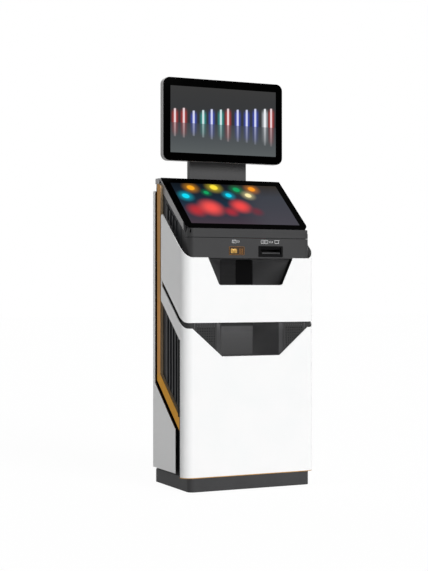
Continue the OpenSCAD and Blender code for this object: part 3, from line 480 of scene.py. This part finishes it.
for x, up, radius, hue, soft, strength in spots:
    away = add(tree, "VectorMath", {0: flat, 1: (x * MM, up * MM, 0)}, operation="DISTANCE").outputs["Value"]
    amount = add(tree, "MapRange", {"Value": away, "From Min": radius * MM, "From Max": radius * (1 - soft) * MM,
                                    "To Max": strength}, interpolation_type="SMOOTHSTEP").outputs[0]
    lights = add(tree, "Mix", {0: amount, 6: lights, 7: linear(hue)}, data_type="RGBA").outputs[2]
add(tree, shader, {"Emission Color": lights, "Emission Strength": window})
print(touch_glass.name, "shows", len(glows), "glows and", len(discs), "discs")

# %% [markdown]
# The upright screen shows a row of light tubes standing on a dark glossy floor. The distance from the
# floor line serves the tubes and their mirror images alike, so one set of nodes draws both, and the
# lower half is dimmed. A texture of random cells gives the row, one tube in each cell, and its start is
# shifted to a run of cells whose colours make a good mix.

# %% Upright screen picture
BORDER, PICTURE_TALL, TUBE_PITCH, ROW_START = 35.7, 296.4, 44, 1434   # millimetres
FLOOR_LINE = 0.45                                                     # share of the picture's height
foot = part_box("monitor_glass")[0]
upright_glass, tree, shader, axes, share, window = screen_glass(
    "upright_cover_glass", corner=(0, foot.y, foot.z + BORDER * MM), tilt=math.radians(90), low=0, high=PICTURE_TALL)
ground = add(tree, "ValToRGB", {"Fac": share}, [
    (0.0, linear("#5a5f60")), (0.44, linear("#41454a")), (0.46, linear("#35373a")), (1.0, linear("#3b3b3b"))])
shift = add(tree, "Math", {0: axes[0], 1: ROW_START * MM}, operation="ADD").outputs[0]
tube = add(tree, "TexVoronoi", {"W": shift, "Scale": 1 / (TUBE_PITCH * MM), "Randomness": 0.35},
           voronoi_dimensions="1D").outputs
pick = add(tree, "SeparateColor", {"Color": tube["Color"]}).outputs
hue = add(tree, "ValToRGB", {"Fac": pick[0]}, [
    (0.0, linear("#d8423c")), (0.3, linear("#4f63e0")), (0.55, linear("#38b7b0")), (0.78, linear("#e7ecf2"))])
hue.color_ramp.interpolation = "CONSTANT"
white_hot = add(tree, "Mix", {0: 0.7, 6: hue.outputs["Color"], 7: linear("#f4f6fa")}, data_type="RGBA").outputs[2]
rise = add(tree, "Math", {0: share, 1: FLOOR_LINE}, operation="SUBTRACT").outputs[0]
off_floor = add(tree, "Math", {0: rise}, operation="ABSOLUTE").outputs[0]
height = add(tree, "MapRange", {"Value": axes[0], "From Min": -0.26, "From Max": 0.26,
                                "To Min": 0.14, "To Max": 0.28}).outputs[0]
height = add(tree, "Math", {0: pick[1], 1: 0.08, 2: height}, operation="MULTIPLY_ADD").outputs[0]
under_top = add(tree, "Math", {0: height, 1: off_floor}, operation="SUBTRACT").outputs[0]
dim = add(tree, "MapRange", {"Value": rise, "From Min": -0.36, "From Max": 0.0,
                             "To Min": 0.0, "To Max": 0.4}).outputs[0]
above = add(tree, "Math", {0: rise, 1: 0.0}, operation="GREATER_THAN").outputs[0]
level = add(tree, "Mix", {0: above, 2: dim, 3: 1.0}, data_type="FLOAT").outputs[0]
tubes = ground.outputs["Color"]
layers = (  # half width, soft edge and rounding of the end, strength, colour: the halo, then the core
    (0.5, 0.46, 0.10, 0.6, hue.outputs["Color"]),
    (0.15, 0.08, 0.02, 1.0, white_hot),
)
for wide, soft, end, shine, colour in layers:
    across = add(tree, "MapRange", {"Value": tube["Distance"], "From Min": wide, "From Max": wide - soft,
                                    "To Max": shine}, interpolation_type="SMOOTHSTEP").outputs[0]
    up = add(tree, "MapRange", {"Value": under_top, "From Max": end}, interpolation_type="SMOOTHSTEP").outputs[0]
    amount = add(tree, "Math", {0: across, 1: up}, operation="MULTIPLY").outputs[0]
    amount = add(tree, "Math", {0: amount, 1: level}, operation="MULTIPLY").outputs[0]
    tubes = add(tree, "Mix", {0: amount, 6: tubes, 7: colour}, data_type="RGBA").outputs[2]
add(tree, shader, {"Emission Color": tubes, "Emission Strength": window})
print(upright_glass.name, "shows tubes", TUBE_PITCH, "mm apart")

# %% [markdown]
# ## Plated steel
# Hinges, shelf and base plate are zinc plated: the zinc freezes in spangles about 8 mm across that shine
# at slightly different angles, and a texture of random cells has just that form. The lock, screws and
# small button are nickel plated and turned. Their fine marks are too small to show one by one, so a
# noise stands for them in tone and gloss.

# %% Zinc and nickel
SPANGLE, TURNED_MARK = 8, 1.5            # millimetres
zinc, tree, shader, place = open_finish("zinc_plated_steel")
spangle = add(tree, "TexVoronoi", {"Vector": place, "Scale": 1 / (SPANGLE * MM)})
shade = add(tree, "SeparateColor", {"Color": spangle.outputs["Color"]}).outputs
tone = add(tree, "ValToRGB", {"Fac": shade[0]}, [(0.0, linear("#9a9da0")), (1.0, linear("#b7babd"))])
gloss = add(tree, "MapRange", {"Value": shade[1], "To Min": 0.34, "To Max": 0.52}).outputs[0]
edge = add(tree, "Bevel", {"Radius": 0.6 * MM}, samples=4).outputs[0]
add(tree, shader, {"Base Color": tone.outputs["Color"], "Roughness": gloss, "Normal": edge, "Metallic": 1.0})

nickel, tree, shader, place = open_finish("nickel_plated_turned_steel")
mark = add(tree, "TexNoise", {"Vector": place, "Scale": 1 / (TURNED_MARK * MM), "Detail": 3.0}).outputs["Fac"]
tone = add(tree, "ValToRGB", {"Fac": mark}, [(0.3, linear("#c3c5c8")), (0.7, linear("#d3d5d8"))])
gloss = add(tree, "MapRange", {"Value": mark, "To Min": 0.18, "To Max": 0.3}).outputs[0]
add(tree, shader, {"Base Color": tone.outputs["Color"], "Roughness": gloss, "Metallic": 1.0})
print("plated:", zinc.name, nickel.name)

# %% [markdown]
# ## Moulded plastics, rubber and paper
# Readers, sockets and fan are ABS, moulded in a spark-eroded tool that leaves a fine matt grain; seals,
# foam and print differ from it only in tint, gloss and grain, so one function serves them all. The card
# place is a translucent amber frame, the scan window a smoked acrylic sheet. The contacts are plated with
# hard gold, rubbed by the cards. The ticket roll is thermal paper, whose ends show the wound layers as
# rings: a sine of the distance from the roll's axis.

# %% Plastics
MOULD_DRIFT, MOULD_EDGE, MOULD_RELIEF = 40, 0.5, 0.2    # millimetres


def moulded(name, low, high, rough, level, grain_mm=1.6, bump=0.12):
    """Colour drifts from low to high, and the grain of the tool makes bump and gloss."""
    finish, tree, shader, place = open_finish(name)
    drift = add(tree, "TexNoise", {"Vector": place, "Scale": 1 / (MOULD_DRIFT * MM), "Detail": 2.0})
    tone = add(tree, "ValToRGB", {"Fac": drift.outputs["Fac"]}, [(0.3, linear(low)), (0.7, linear(high))])
    grain = add(tree, "TexNoise", {"Vector": place, "Scale": 1 / (grain_mm * MM), "Detail": 2.0}).outputs["Fac"]
    gloss = add(tree, "MapRange", {"Value": grain, "To Min": rough - 0.05, "To Max": rough + 0.05}).outputs[0]
    edge = add(tree, "Bevel", {"Radius": MOULD_EDGE * MM}, samples=4).outputs[0]
    relief = add(tree, "Bump", {"Height": grain, "Normal": edge, "Strength": bump,
                                "Distance": MOULD_RELIEF * MM}).outputs[0]
    add(tree, shader, {"Base Color": tone.outputs["Color"], "Roughness": gloss, "Normal": relief,
                       "Specular IOR Level": level, "IOR": 1.53})
    return finish


black_abs = moulded("black_grained_abs", "#131314", "#18181a", 0.5, 0.2)
bezel_abs = moulded("black_satin_abs", "#0c0c0d", "#101011", 0.5, 0.03)
lip_abs = moulded("grey_grained_abs", "#2a2a2b", "#313132", 0.5, 0.2)
red_abs = moulded("red_grained_abs", "#6a1d1a", "#77231f", 0.42, 0.4)
green_abs = moulded("green_grained_abs", "#3a8652", "#46955d", 0.42, 0.4)
amber_abs = moulded("amber_moulded_frame", "#2b1b0a", "#38240d", 0.3, 0.2, 3.0, 0.05)
smoked = moulded("smoked_acrylic_window", "#050506", "#070708", 0.14, 0.04, 25, 0.01)
foam = moulded("open_cell_filter_foam", "#0b0b0c", "#141415", 0.9, 0.05, 5, 0.6)
# Painted shade: the seal's dark brown stands for the shaded gold in the groove beside the strips.
seal_shade_rubber = moulded("dark_brown_seal_painted_shade", "#452a09", "#4f300b", 0.6, 0.04)
# Painted shadow: the fin seal's black also stands for the shade in the gap behind the lower shell.
fin_shade_rubber = moulded("black_fin_seal_painted_shade", "#060606", "#0a0a0a", 0.6, 0.03)
print_ink = moulded("pale_printed_ink", "#dcdcdd", "#e6e6e7", 0.6, 0.2)
mark_abs = moulded("amber_printed_marks", "#9a6420", "#b07728", 0.4, 0.2)
print("finishes so far:", len(bpy.data.materials))

# %% Contact gold
RUB = 6                                  # millimetres
contact, tree, shader, place = open_finish("hard_gold_contacts")
rub = add(tree, "TexNoise", {"Vector": place, "Scale": 1 / (RUB * MM), "Detail": 3.0}).outputs["Fac"]
tone = add(tree, "ValToRGB", {"Fac": rub}, [(0.3, linear("#876628")), (0.7, linear("#9a783a"))])
gloss = add(tree, "MapRange", {"Value": rub, "To Min": 0.28, "To Max": 0.42}).outputs[0]
add(tree, shader, {"Base Color": tone.outputs["Color"], "Roughness": gloss, "Metallic": 0.6})
print("plated:", contact.name)

# %% Paper
LAYER, FIBRE = 1.5, 4                    # millimetres
FLATTEN = 1e6                            # takes the length of the roll out of the distance from its axis
paper, tree, shader, place = open_finish("thermal_paper_roll")
middle = sum(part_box("paper_roll"), Vector()) / 2
arm = add(tree, "Mapping", {"Vector": place, "Location": middle, "Scale": (FLATTEN, 1, 1)}, vector_type="TEXTURE")
radius = add(tree, "VectorMath", {0: arm.outputs[0]}, operation="LENGTH").outputs["Value"]
turns = add(tree, "Math", {0: radius, 1: 2 * math.pi / (LAYER * MM)}, operation="MULTIPLY").outputs[0]
layer = add(tree, "Math", {0: turns}, operation="SINE").outputs[0]
fibre = add(tree, "TexNoise", {"Vector": place, "Scale": 1 / (FIBRE * MM), "Detail": 4.0}).outputs["Fac"]
mixed = add(tree, "Math", {0: layer, 1: 0.12, 2: fibre}, operation="MULTIPLY_ADD").outputs[0]
tone = add(tree, "ValToRGB", {"Fac": mixed}, [(0.3, linear("#dedad0")), (0.7, linear("#f2efe8"))])
add(tree, shader, {"Base Color": tone.outputs["Color"], "Roughness": 0.8, "Specular IOR Level": 0.2})
print("paper:", paper.name)

# %% [markdown]
# ## Dressing the nodes
# Every CAD node keeps its shape and gets its finish. The list reads like the kiosk's parts list, sorted
# by what a piece is made of.

# %% Finish of each node
wardrobe = {
    white_coat: "upper_shell rear_panel_left rear_panel_right",
    shell_shadow_coat: "lower_shell",
    head_coat: "head_shell",
    charcoal_coat: "lid_tray rear_door",
    plinth_coat: "plinth",
    grey_coat: "mast bracket",
    niche_light_coat: "lower_niche niche_panel",
    scan_light_shade_coat: "upper_niche",
    louvre_coat: "louvre_left louvre_right head_louvre_left head_louvre_right",
    dark_coat: "belt grille_left grille_right",
    carcass_shade_coat: "carcass",
    black_coat: "niche_collar lid_knuckles hinge_lugs",
    gold: "base_trim trim_left trim_right",
    silver: "deck lid_rim monitor_case",
    touch_glass: "touch_glass",
    upright_glass: "monitor_glass",
    zinc: "base_plate shelf door_knuckles door_lugs lock_cam power_supply touch_panel monitor_panel",
    nickel: "lock_barrel computer_button screws",
    case_coat: "computer",
    black_abs: "scanner speaker_left speaker_right card_reader note_validator fan_frame fan_rotor inlet printer",
    bezel_abs: "note_bezel",
    amber_abs: "card_bezel",
    smoked: "scan_window",
    red_abs: "cash_box rocker",
    green_abs: "feed_button",
    paper: "paper_roll",
}
for finish, names in wardrobe.items():
    for name in names.split():
        nodes[name].data.materials.clear()
        nodes[name].data.materials.append(finish)
dressed = sum(len(names.split()) for names in wardrobe.values())
print("dressed", dressed, "of", len(nodes), "nodes")

# %% [markdown]
# ## Small pieces
# The printed and turned pieces are skins of rings. Cubes and cylinders with modifiers could make some of
# them, but a skin of rings makes them all. A loft closes such a skin by shrinking its first and last ring
# to their middle. A plate is a loft of rounded outlines with a bevelled front edge, a stroke is a low bead
# along a path on the wall, and several of them join into one piece.

# %% Lofts, plates and strokes
BEAD = ((-0.5, 0), (-0.5, 0.6), (-0.3, 1), (0.3, 1), (0.5, 0.6), (0.5, 0))   # shares of width and rise


def loft(rings):
    """Rings of points, one row each; both ends close by a ring that lies at the end ring's mean."""
    rings = np.asarray(rings, float)
    ends = [np.repeat(ring.mean(0)[None], len(ring), 0)[None] for ring in (rings[0], rings[-1])]
    rings = np.concatenate([ends[0], rings, ends[1]])
    return rings.reshape(-1, 3), grid_faces(len(rings), rings.shape[1], close_columns=True)


def circle(count):
    """Unit steps (cos, sin) round a circle; rounding makes those along an axis exact."""
    angle = np.linspace(0, 2 * np.pi, count, endpoint=False)
    return np.stack([np.cos(angle), np.sin(angle)], 1).round(9)


def rounded_box(x, z, wide, tall, corner, inset=0.0, count=64):
    """Outline round (x, z): the corner's middle on that side, plus a unit step times its radius less inset."""
    way = circle(count)
    return (x, z) + (np.sign(way) * (np.array([wide, tall]) / 2 - corner) + way * (corner - inset))


def plate(x, y, z, wide, tall, corner, rise, bevel):
    """Outlines round (x, z) on a wall at y that faces -Y, drawn in by the bevel at the front; millimetres."""
    steps = ((0, 0), (0, rise - bevel), (0.3 * bevel, rise - 0.3 * bevel), (bevel, rise))
    return loft([np.insert(rounded_box(x, z, wide, tall, corner, inset, 48), 1, y - lift, axis=1)
                 for inset, lift in steps])


def stroke(path, y, width, rise, closed=False):
    """A bead along a path of (x, z) points on a wall at y that faces -Y: the path moves along its normal by
    a share of the width, and off the wall by a share of the rise."""
    path = np.asarray(path, float)
    step = np.roll(path, -1, 0) - np.roll(path, 1, 0) if closed else np.gradient(path, axis=0)
    step = step / np.linalg.norm(step, axis=1, keepdims=True)
    normal = step[:, ::-1] * (-1, 1)
    rings = np.stack([np.insert(path + a * width * normal, 1, y - b * rise, axis=1) for a, b in BEAD], 1)
    if closed:
        return rings.reshape(-1, 3), grid_faces(len(path), len(BEAD), close_rows=True, close_columns=True)
    return loft(rings)


def small_piece(name, parts, finish, body="cabinet"):
    """Parts in millimetres join into one piece that rides on a body."""
    starts = np.cumsum([0] + [len(points) for points, _ in parts[:-1]])
    points = np.concatenate([points for points, _ in parts]) * MM
    faces = np.concatenate([faces + start for (_, faces), start in zip(parts, starts)])
    piece = put_mesh(name, points, faces, finish)
    piece.data.shade_smooth()
    piece.data.set_sharp_from_angle(angle=math.radians(35))
    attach(piece, body)
    return piece


print("a plate has", len(plate(0, 0, 0, wide=10, tall=5, corner=1, rise=1, bevel=0.2)[0]), "points")

# %% [markdown]
# The card place shows a contact chip and a few marks inside its amber frame. They lie on the frame's
# sunk face, a little off the fascia's wall. The note slot has a grey ramp for a lower lip: one profile of (y, z)
# points goes along the slot, and swells out of its back line at both ends.

# %% Card place and note slot
WALL = -179.5                            # y of the fascia's front, in millimetres
CHIP_X, CHIP_Z, MARKS_Z = -81.5, 1027.7, 1027.2
SUNK_FACE = WALL - 0.75
chip = [plate(CHIP_X, SUNK_FACE, CHIP_Z, wide=30, tall=19, corner=2.5, rise=0.4, bevel=0.15)]
chip += [plate(CHIP_X + x, SUNK_FACE - 0.35, CHIP_Z + z, wide=8.2, tall=3.4, corner=0.8, rise=0.3, bevel=0.12)
         for x in (-9.6, 9.6) for z in (-6.6, -2.2, 2.2, 6.6)]
chip += [plate(CHIP_X, SUNK_FACE - 0.35, CHIP_Z, wide=8.6, tall=16.6, corner=1.6, rise=0.3, bevel=0.12)]
small_piece("card_chip", chip, contact)
marks = [plate(x, SUNK_FACE, MARKS_Z + z, wide, tall=2.2, corner=0.6, rise=0.4, bevel=0.12)
         for x, wide in ((-52.6, 6.5), (-42, 7.5)) for z in (-9.6, -4.8, 0, 4.8, 9.6)]
small_piece("card_marks", marks, mark_abs)

LIP_BACK, LIP_LEFT, LIP_RIGHT, LIP_END = -176.6, 53, 143, 2
ramp = np.array([(LIP_BACK, 1024.3), (-178.4, 1024.1), (-180.9, 1021.6), (-181.7, 1019.8), (-181.7, 1017.4),
                 (-180.9, 1016.4), (LIP_BACK, 1016.4)])
inwards = LIP_END * (1 - np.cos(np.linspace(0, np.pi / 2, 6)))
swell = np.sin(np.linspace(0.25, np.pi / 2, 6))
stations = [*zip(LIP_LEFT + inwards, swell), *zip(LIP_RIGHT - inwards[::-1], swell[::-1])]
lip = [np.column_stack([np.full(len(ramp), x), LIP_BACK + (ramp[:, 0] - LIP_BACK) * k, ramp[:, 1]])
       for x, k in stations]
small_piece("note_lip", [loft(lip)], lip_abs)

# %% [markdown]
# Signs over both places say what goes in: a card and a banknote, each with arrows. They are pictograms
# drawn for this lesson in pale ink, about 1.5 mm in line. A thin amber line runs round the card place.

# %% Signs
SIGN_Z, CARD_X, NOTE_X = 1069, -80, 66.5
INK = {"y": WALL + 0.05, "width": 1.5, "rise": 0.35}


def line(*corners):
    """A path through the corners, in twelve steps from each to the next."""
    legs = [np.linspace(a, b, 12, endpoint=False) for a, b in zip(corners, corners[1:])]
    return np.concatenate(legs + [[corners[-1]]])


def arrow(x):
    """An arrow head with its middle at x: two strokes that meet at the tip."""
    return line((x - 2.4, SIGN_Z + 4.8), (x + 2.4, SIGN_Z), (x - 2.4, SIGN_Z - 4.8))


card_outline = rounded_box(CARD_X, SIGN_Z, 19, 12.5, 2.2)
card_lines = [line((-89, 1071.6), (-71, 1071.6)), line((-86.5, 1066.2), (-80, 1066.2)), arrow(-63.5), arrow(-57)]
card_sign = [stroke(card_outline, closed=True, **INK)] + [stroke(path, **INK) for path in card_lines]
small_piece("card_sign", card_sign, print_ink)

low, high = (np.array(corner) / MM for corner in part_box("card_bezel"))
rim = rounded_box(*(low + high)[[0, 2]] / 2, *(high - low)[[0, 2]] - 1.4, 2.4)
small_piece("card_rim", [stroke(rim, low[1] + 0.05, 1.2, 0.3, closed=True)], mark_abs)

note_outlines = [rounded_box(NOTE_X, SIGN_Z, 32, 14, 1.6), (NOTE_X, SIGN_Z) + circle(64) * 3.6]
note_lines = [line((55, SIGN_Z), (58.5, SIGN_Z)), line((74.5, SIGN_Z), (78, SIGN_Z)),
              *[arrow(x) for x in (90, 97.5, 105)], line((114, 1075.5), (140.5, 1075.5)),
              line((118, 1074), (118, 1063), (136.5, 1063), (136.5, 1074))]
note_sign = [stroke(path, closed=True, **INK) for path in note_outlines]
note_sign += [stroke(path, **INK) for path in note_lines]
small_piece("note_sign", note_sign, print_ink)

# %% [markdown]
# At the back, the screws are button heads with a hexagon socket. A cutter could sink the socket, but two
# rings of a hexagon do it with fewer faces: a hexagon with apothem a lies at a / cos(angle within a sixth
# of a turn). The mains socket gets its three flat pins, which are plates turned round to face the back.

# %% Screws and pins
HEAD = ((4.5, 0), (4.5, 0.6), (4.15, 1.4), (3.3, 2.05), (2.3, 2.4), (1.9, 2.45))   # radius and height
SOCKET = ((1.5, 2.4), (1.5, 1.0))                                                   # apothem and height
HEAD_RISE, HEAD_R, SCREW_X = 2.5, 4.5, 270
turn = np.linspace(0, 2 * np.pi, 48, endpoint=False)
hexagon = 1 / np.cos(turn % (np.pi / 3) - np.pi / 6)


def screw_head(x, y, z):
    """Rings round (x, z) on a wall at y that faces +Y: circles for the head, then hexagons for the socket."""
    rings = [(r * np.ones(48), h) for r, h in HEAD] + [(a * hexagon, h) for a, h in SOCKET]
    return loft([np.stack([x + r * np.cos(turn), np.full(48, y + h), z + r * np.sin(turn)], 1) for r, h in rings])


low, high = (np.array(corner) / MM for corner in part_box("screws"))
spots = [(side * SCREW_X, high[1] - HEAD_RISE, z) for side in (-1, 1) for z in (1010, 1120, 1230, high[2] - HEAD_R)]
spots += [(share * SCREW_X, low[1], z) for share in (-1, -0.33, 0.33, 1) for z in (80, 145)]
heads = [screw_head(*spot) for spot in spots]
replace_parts(small_piece("screw_heads", heads, nickel), "screws")

INLET_X, INLET_Z, INLET_FLOOR = 200, 103, 156
pins = [plate(INLET_X + x, -INLET_FLOOR, INLET_Z + z, wide=2, tall=4, corner=0.7, rise=11, bevel=0.6)
        for x, z in ((-7, -3.5), (7, -3.5), (0, 3))]
pins = [(points * (1, -1, 1), faces) for points, faces in pins]
small_piece("mains_pins", pins, nickel)

# %% [markdown]
# Between the white side panels and the head, a rubber seal fills the gap beside the gold strips. It is one
# rounded square drawn out upwards. Its dark brown is partly painted shade: the shaded gold in that groove.

# %% Groove seals
SEAL_X, SEAL_Y, SEAL_WIDE, SEAL_CORNER, SEAL_FOOT = 298.8, 163.6, 10.6, 2, 988.5
levels = np.linspace(SEAL_FOOT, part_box("rear_panel_left")[1].z / MM - 2, 9)
seals = []
for side in (-1, 1):
    square = rounded_box(side * SEAL_X, SEAL_Y, SEAL_WIDE, SEAL_WIDE, SEAL_CORNER)
    seals.append(loft([np.insert(square, 2, z, axis=1) for z in levels]))
small_piece("groove_seals", seals, seal_shade_rubber)

# %% [markdown]
# The same rubber edges the side panels beside the gold strips; its dark brown is painted shade there too.
# Two beads follow the sheet's edge, straight down and then along the slant: a thin one stands before the
# edge, a flat lip lies on the face. The places come from the panel's mesh, and an inset d moves the
# slant's bend by d (tan a - 1 / cos a).

# %% Panel edging


def mesh_points(name):
    """The points of a CAD node's mesh, in millimetres."""
    vertices = nodes[name].data.vertices
    flat = np.empty(3 * len(vertices), np.float32)
    vertices.foreach_get("co", flat)
    return flat.reshape(-1, 3).astype(float) / MM


def heights_at(points, y):
    """The heights of those points that lie at y."""
    return points[np.isclose(points[:, 1], y, atol=0.05), 2]


def both_sides(bead):
    """A bead on a front wall turns to the left side, with x and y changed over, and mirrors to the right."""
    points, faces = bead
    return [(points[:, [1, 0, 2]] * (side, 1, 1), faces) for side in (1, -1)]


panel = mesh_points("rear_panel_left")
edge_y, foot_y = panel[panel[:, 2] > 1000, 1].min(), panel[:, 1].min()
bend_z, foot_z = heights_at(panel, edge_y).min(), heights_at(panel, foot_y).max()
face_x, top_z = panel[:, 0].min(), panel[:, 2].max() - 11
slant = math.atan2(bend_z - foot_z, edge_y - foot_y)
edging = []
for inset, wall, width, rise in ((-0.4, face_x + 2.8, 0.8, 3.2), (0.6, face_x, 1.2, 0.4)):
    bend = (edge_y + inset, bend_z + inset * (math.tan(slant) - 1 / math.cos(slant)))
    foot = (foot_y + 1, foot_z + math.tan(slant) - inset / math.cos(slant))
    edging += both_sides(stroke(line((edge_y + inset, top_z), bend, foot), wall, width, rise))
small_piece("panel_edging", edging, seal_shade_rubber)

# %% [markdown]
# A black fin seal closes the gap behind each side of the lower shell; its black also stands for the shade
# in that gap: a painted shadow. It is pushed on the shell's rear edge, under the arm, and reaches 20 mm
# back. It is a wide flat bead, so the stroke serves here too.

# %% Fin seals
FIN_WIDE, FIN_THICK, FIN_FOOT, FIN_GAP, FIN_SINK = 20, 1.6, 318, 0.2, 3
ARM_BELOW = 690                          # the shell's upstand begins above this height
shell = mesh_points("lower_shell")
low_part = shell[shell[:, 2] < 300]
rear_y, side_x = low_part[:, 1].max(), low_part[:, 0].min()
at_edge = heights_at(shell, rear_y)
arm_z = at_edge[at_edge < ARM_BELOW].max()
fin_y = rear_y + FIN_GAP + FIN_WIDE / 2
fins = both_sides(stroke(line((fin_y, FIN_FOOT), (fin_y, arm_z - 1)), side_x + FIN_SINK, FIN_WIDE, FIN_THICK))
small_piece("fin_seals", fins, fin_shade_rubber)
print("lower shell ends at", round(rear_y, 2), "under its arm at", round(arm_z, 2))

# %% [markdown]
# Behind the vent plates lie dust mats of black foam. A mat takes the four corners of its vent plate from
# the CAD mesh and draws each edge in, so that it fits the hole in the sheet behind the plate.

# %% Dust mats
MAT_INSET, MAT_LIFT, MAT_FACES = 9.4, 12.2, (291.6, 292.8)
mats = []
for name in ("louvre_left", "louvre_right", "head_louvre_left", "head_louvre_right"):
    points = mesh_points(name)
    ends = points[:, 1].min(), points[:, 1].max()
    inner = np.array(ends) + (MAT_INSET, -MAT_INSET)
    edges = []
    for lift, choose in ((MAT_LIFT, np.min), (-MAT_LIFT, np.max)):
        heights = [choose(heights_at(points, y)) for y in ends]
        edges.append(np.stack([inner, np.interp(inner, ends, heights) + lift], 1))
    outline = np.concatenate([edges[0], edges[1][::-1]])
    side = np.sign(points[0, 0])
    mats.append(loft([np.insert(outline, 0, side * x, axis=1) for x in MAT_FACES]))
small_piece("dust_mats", mats, foam)
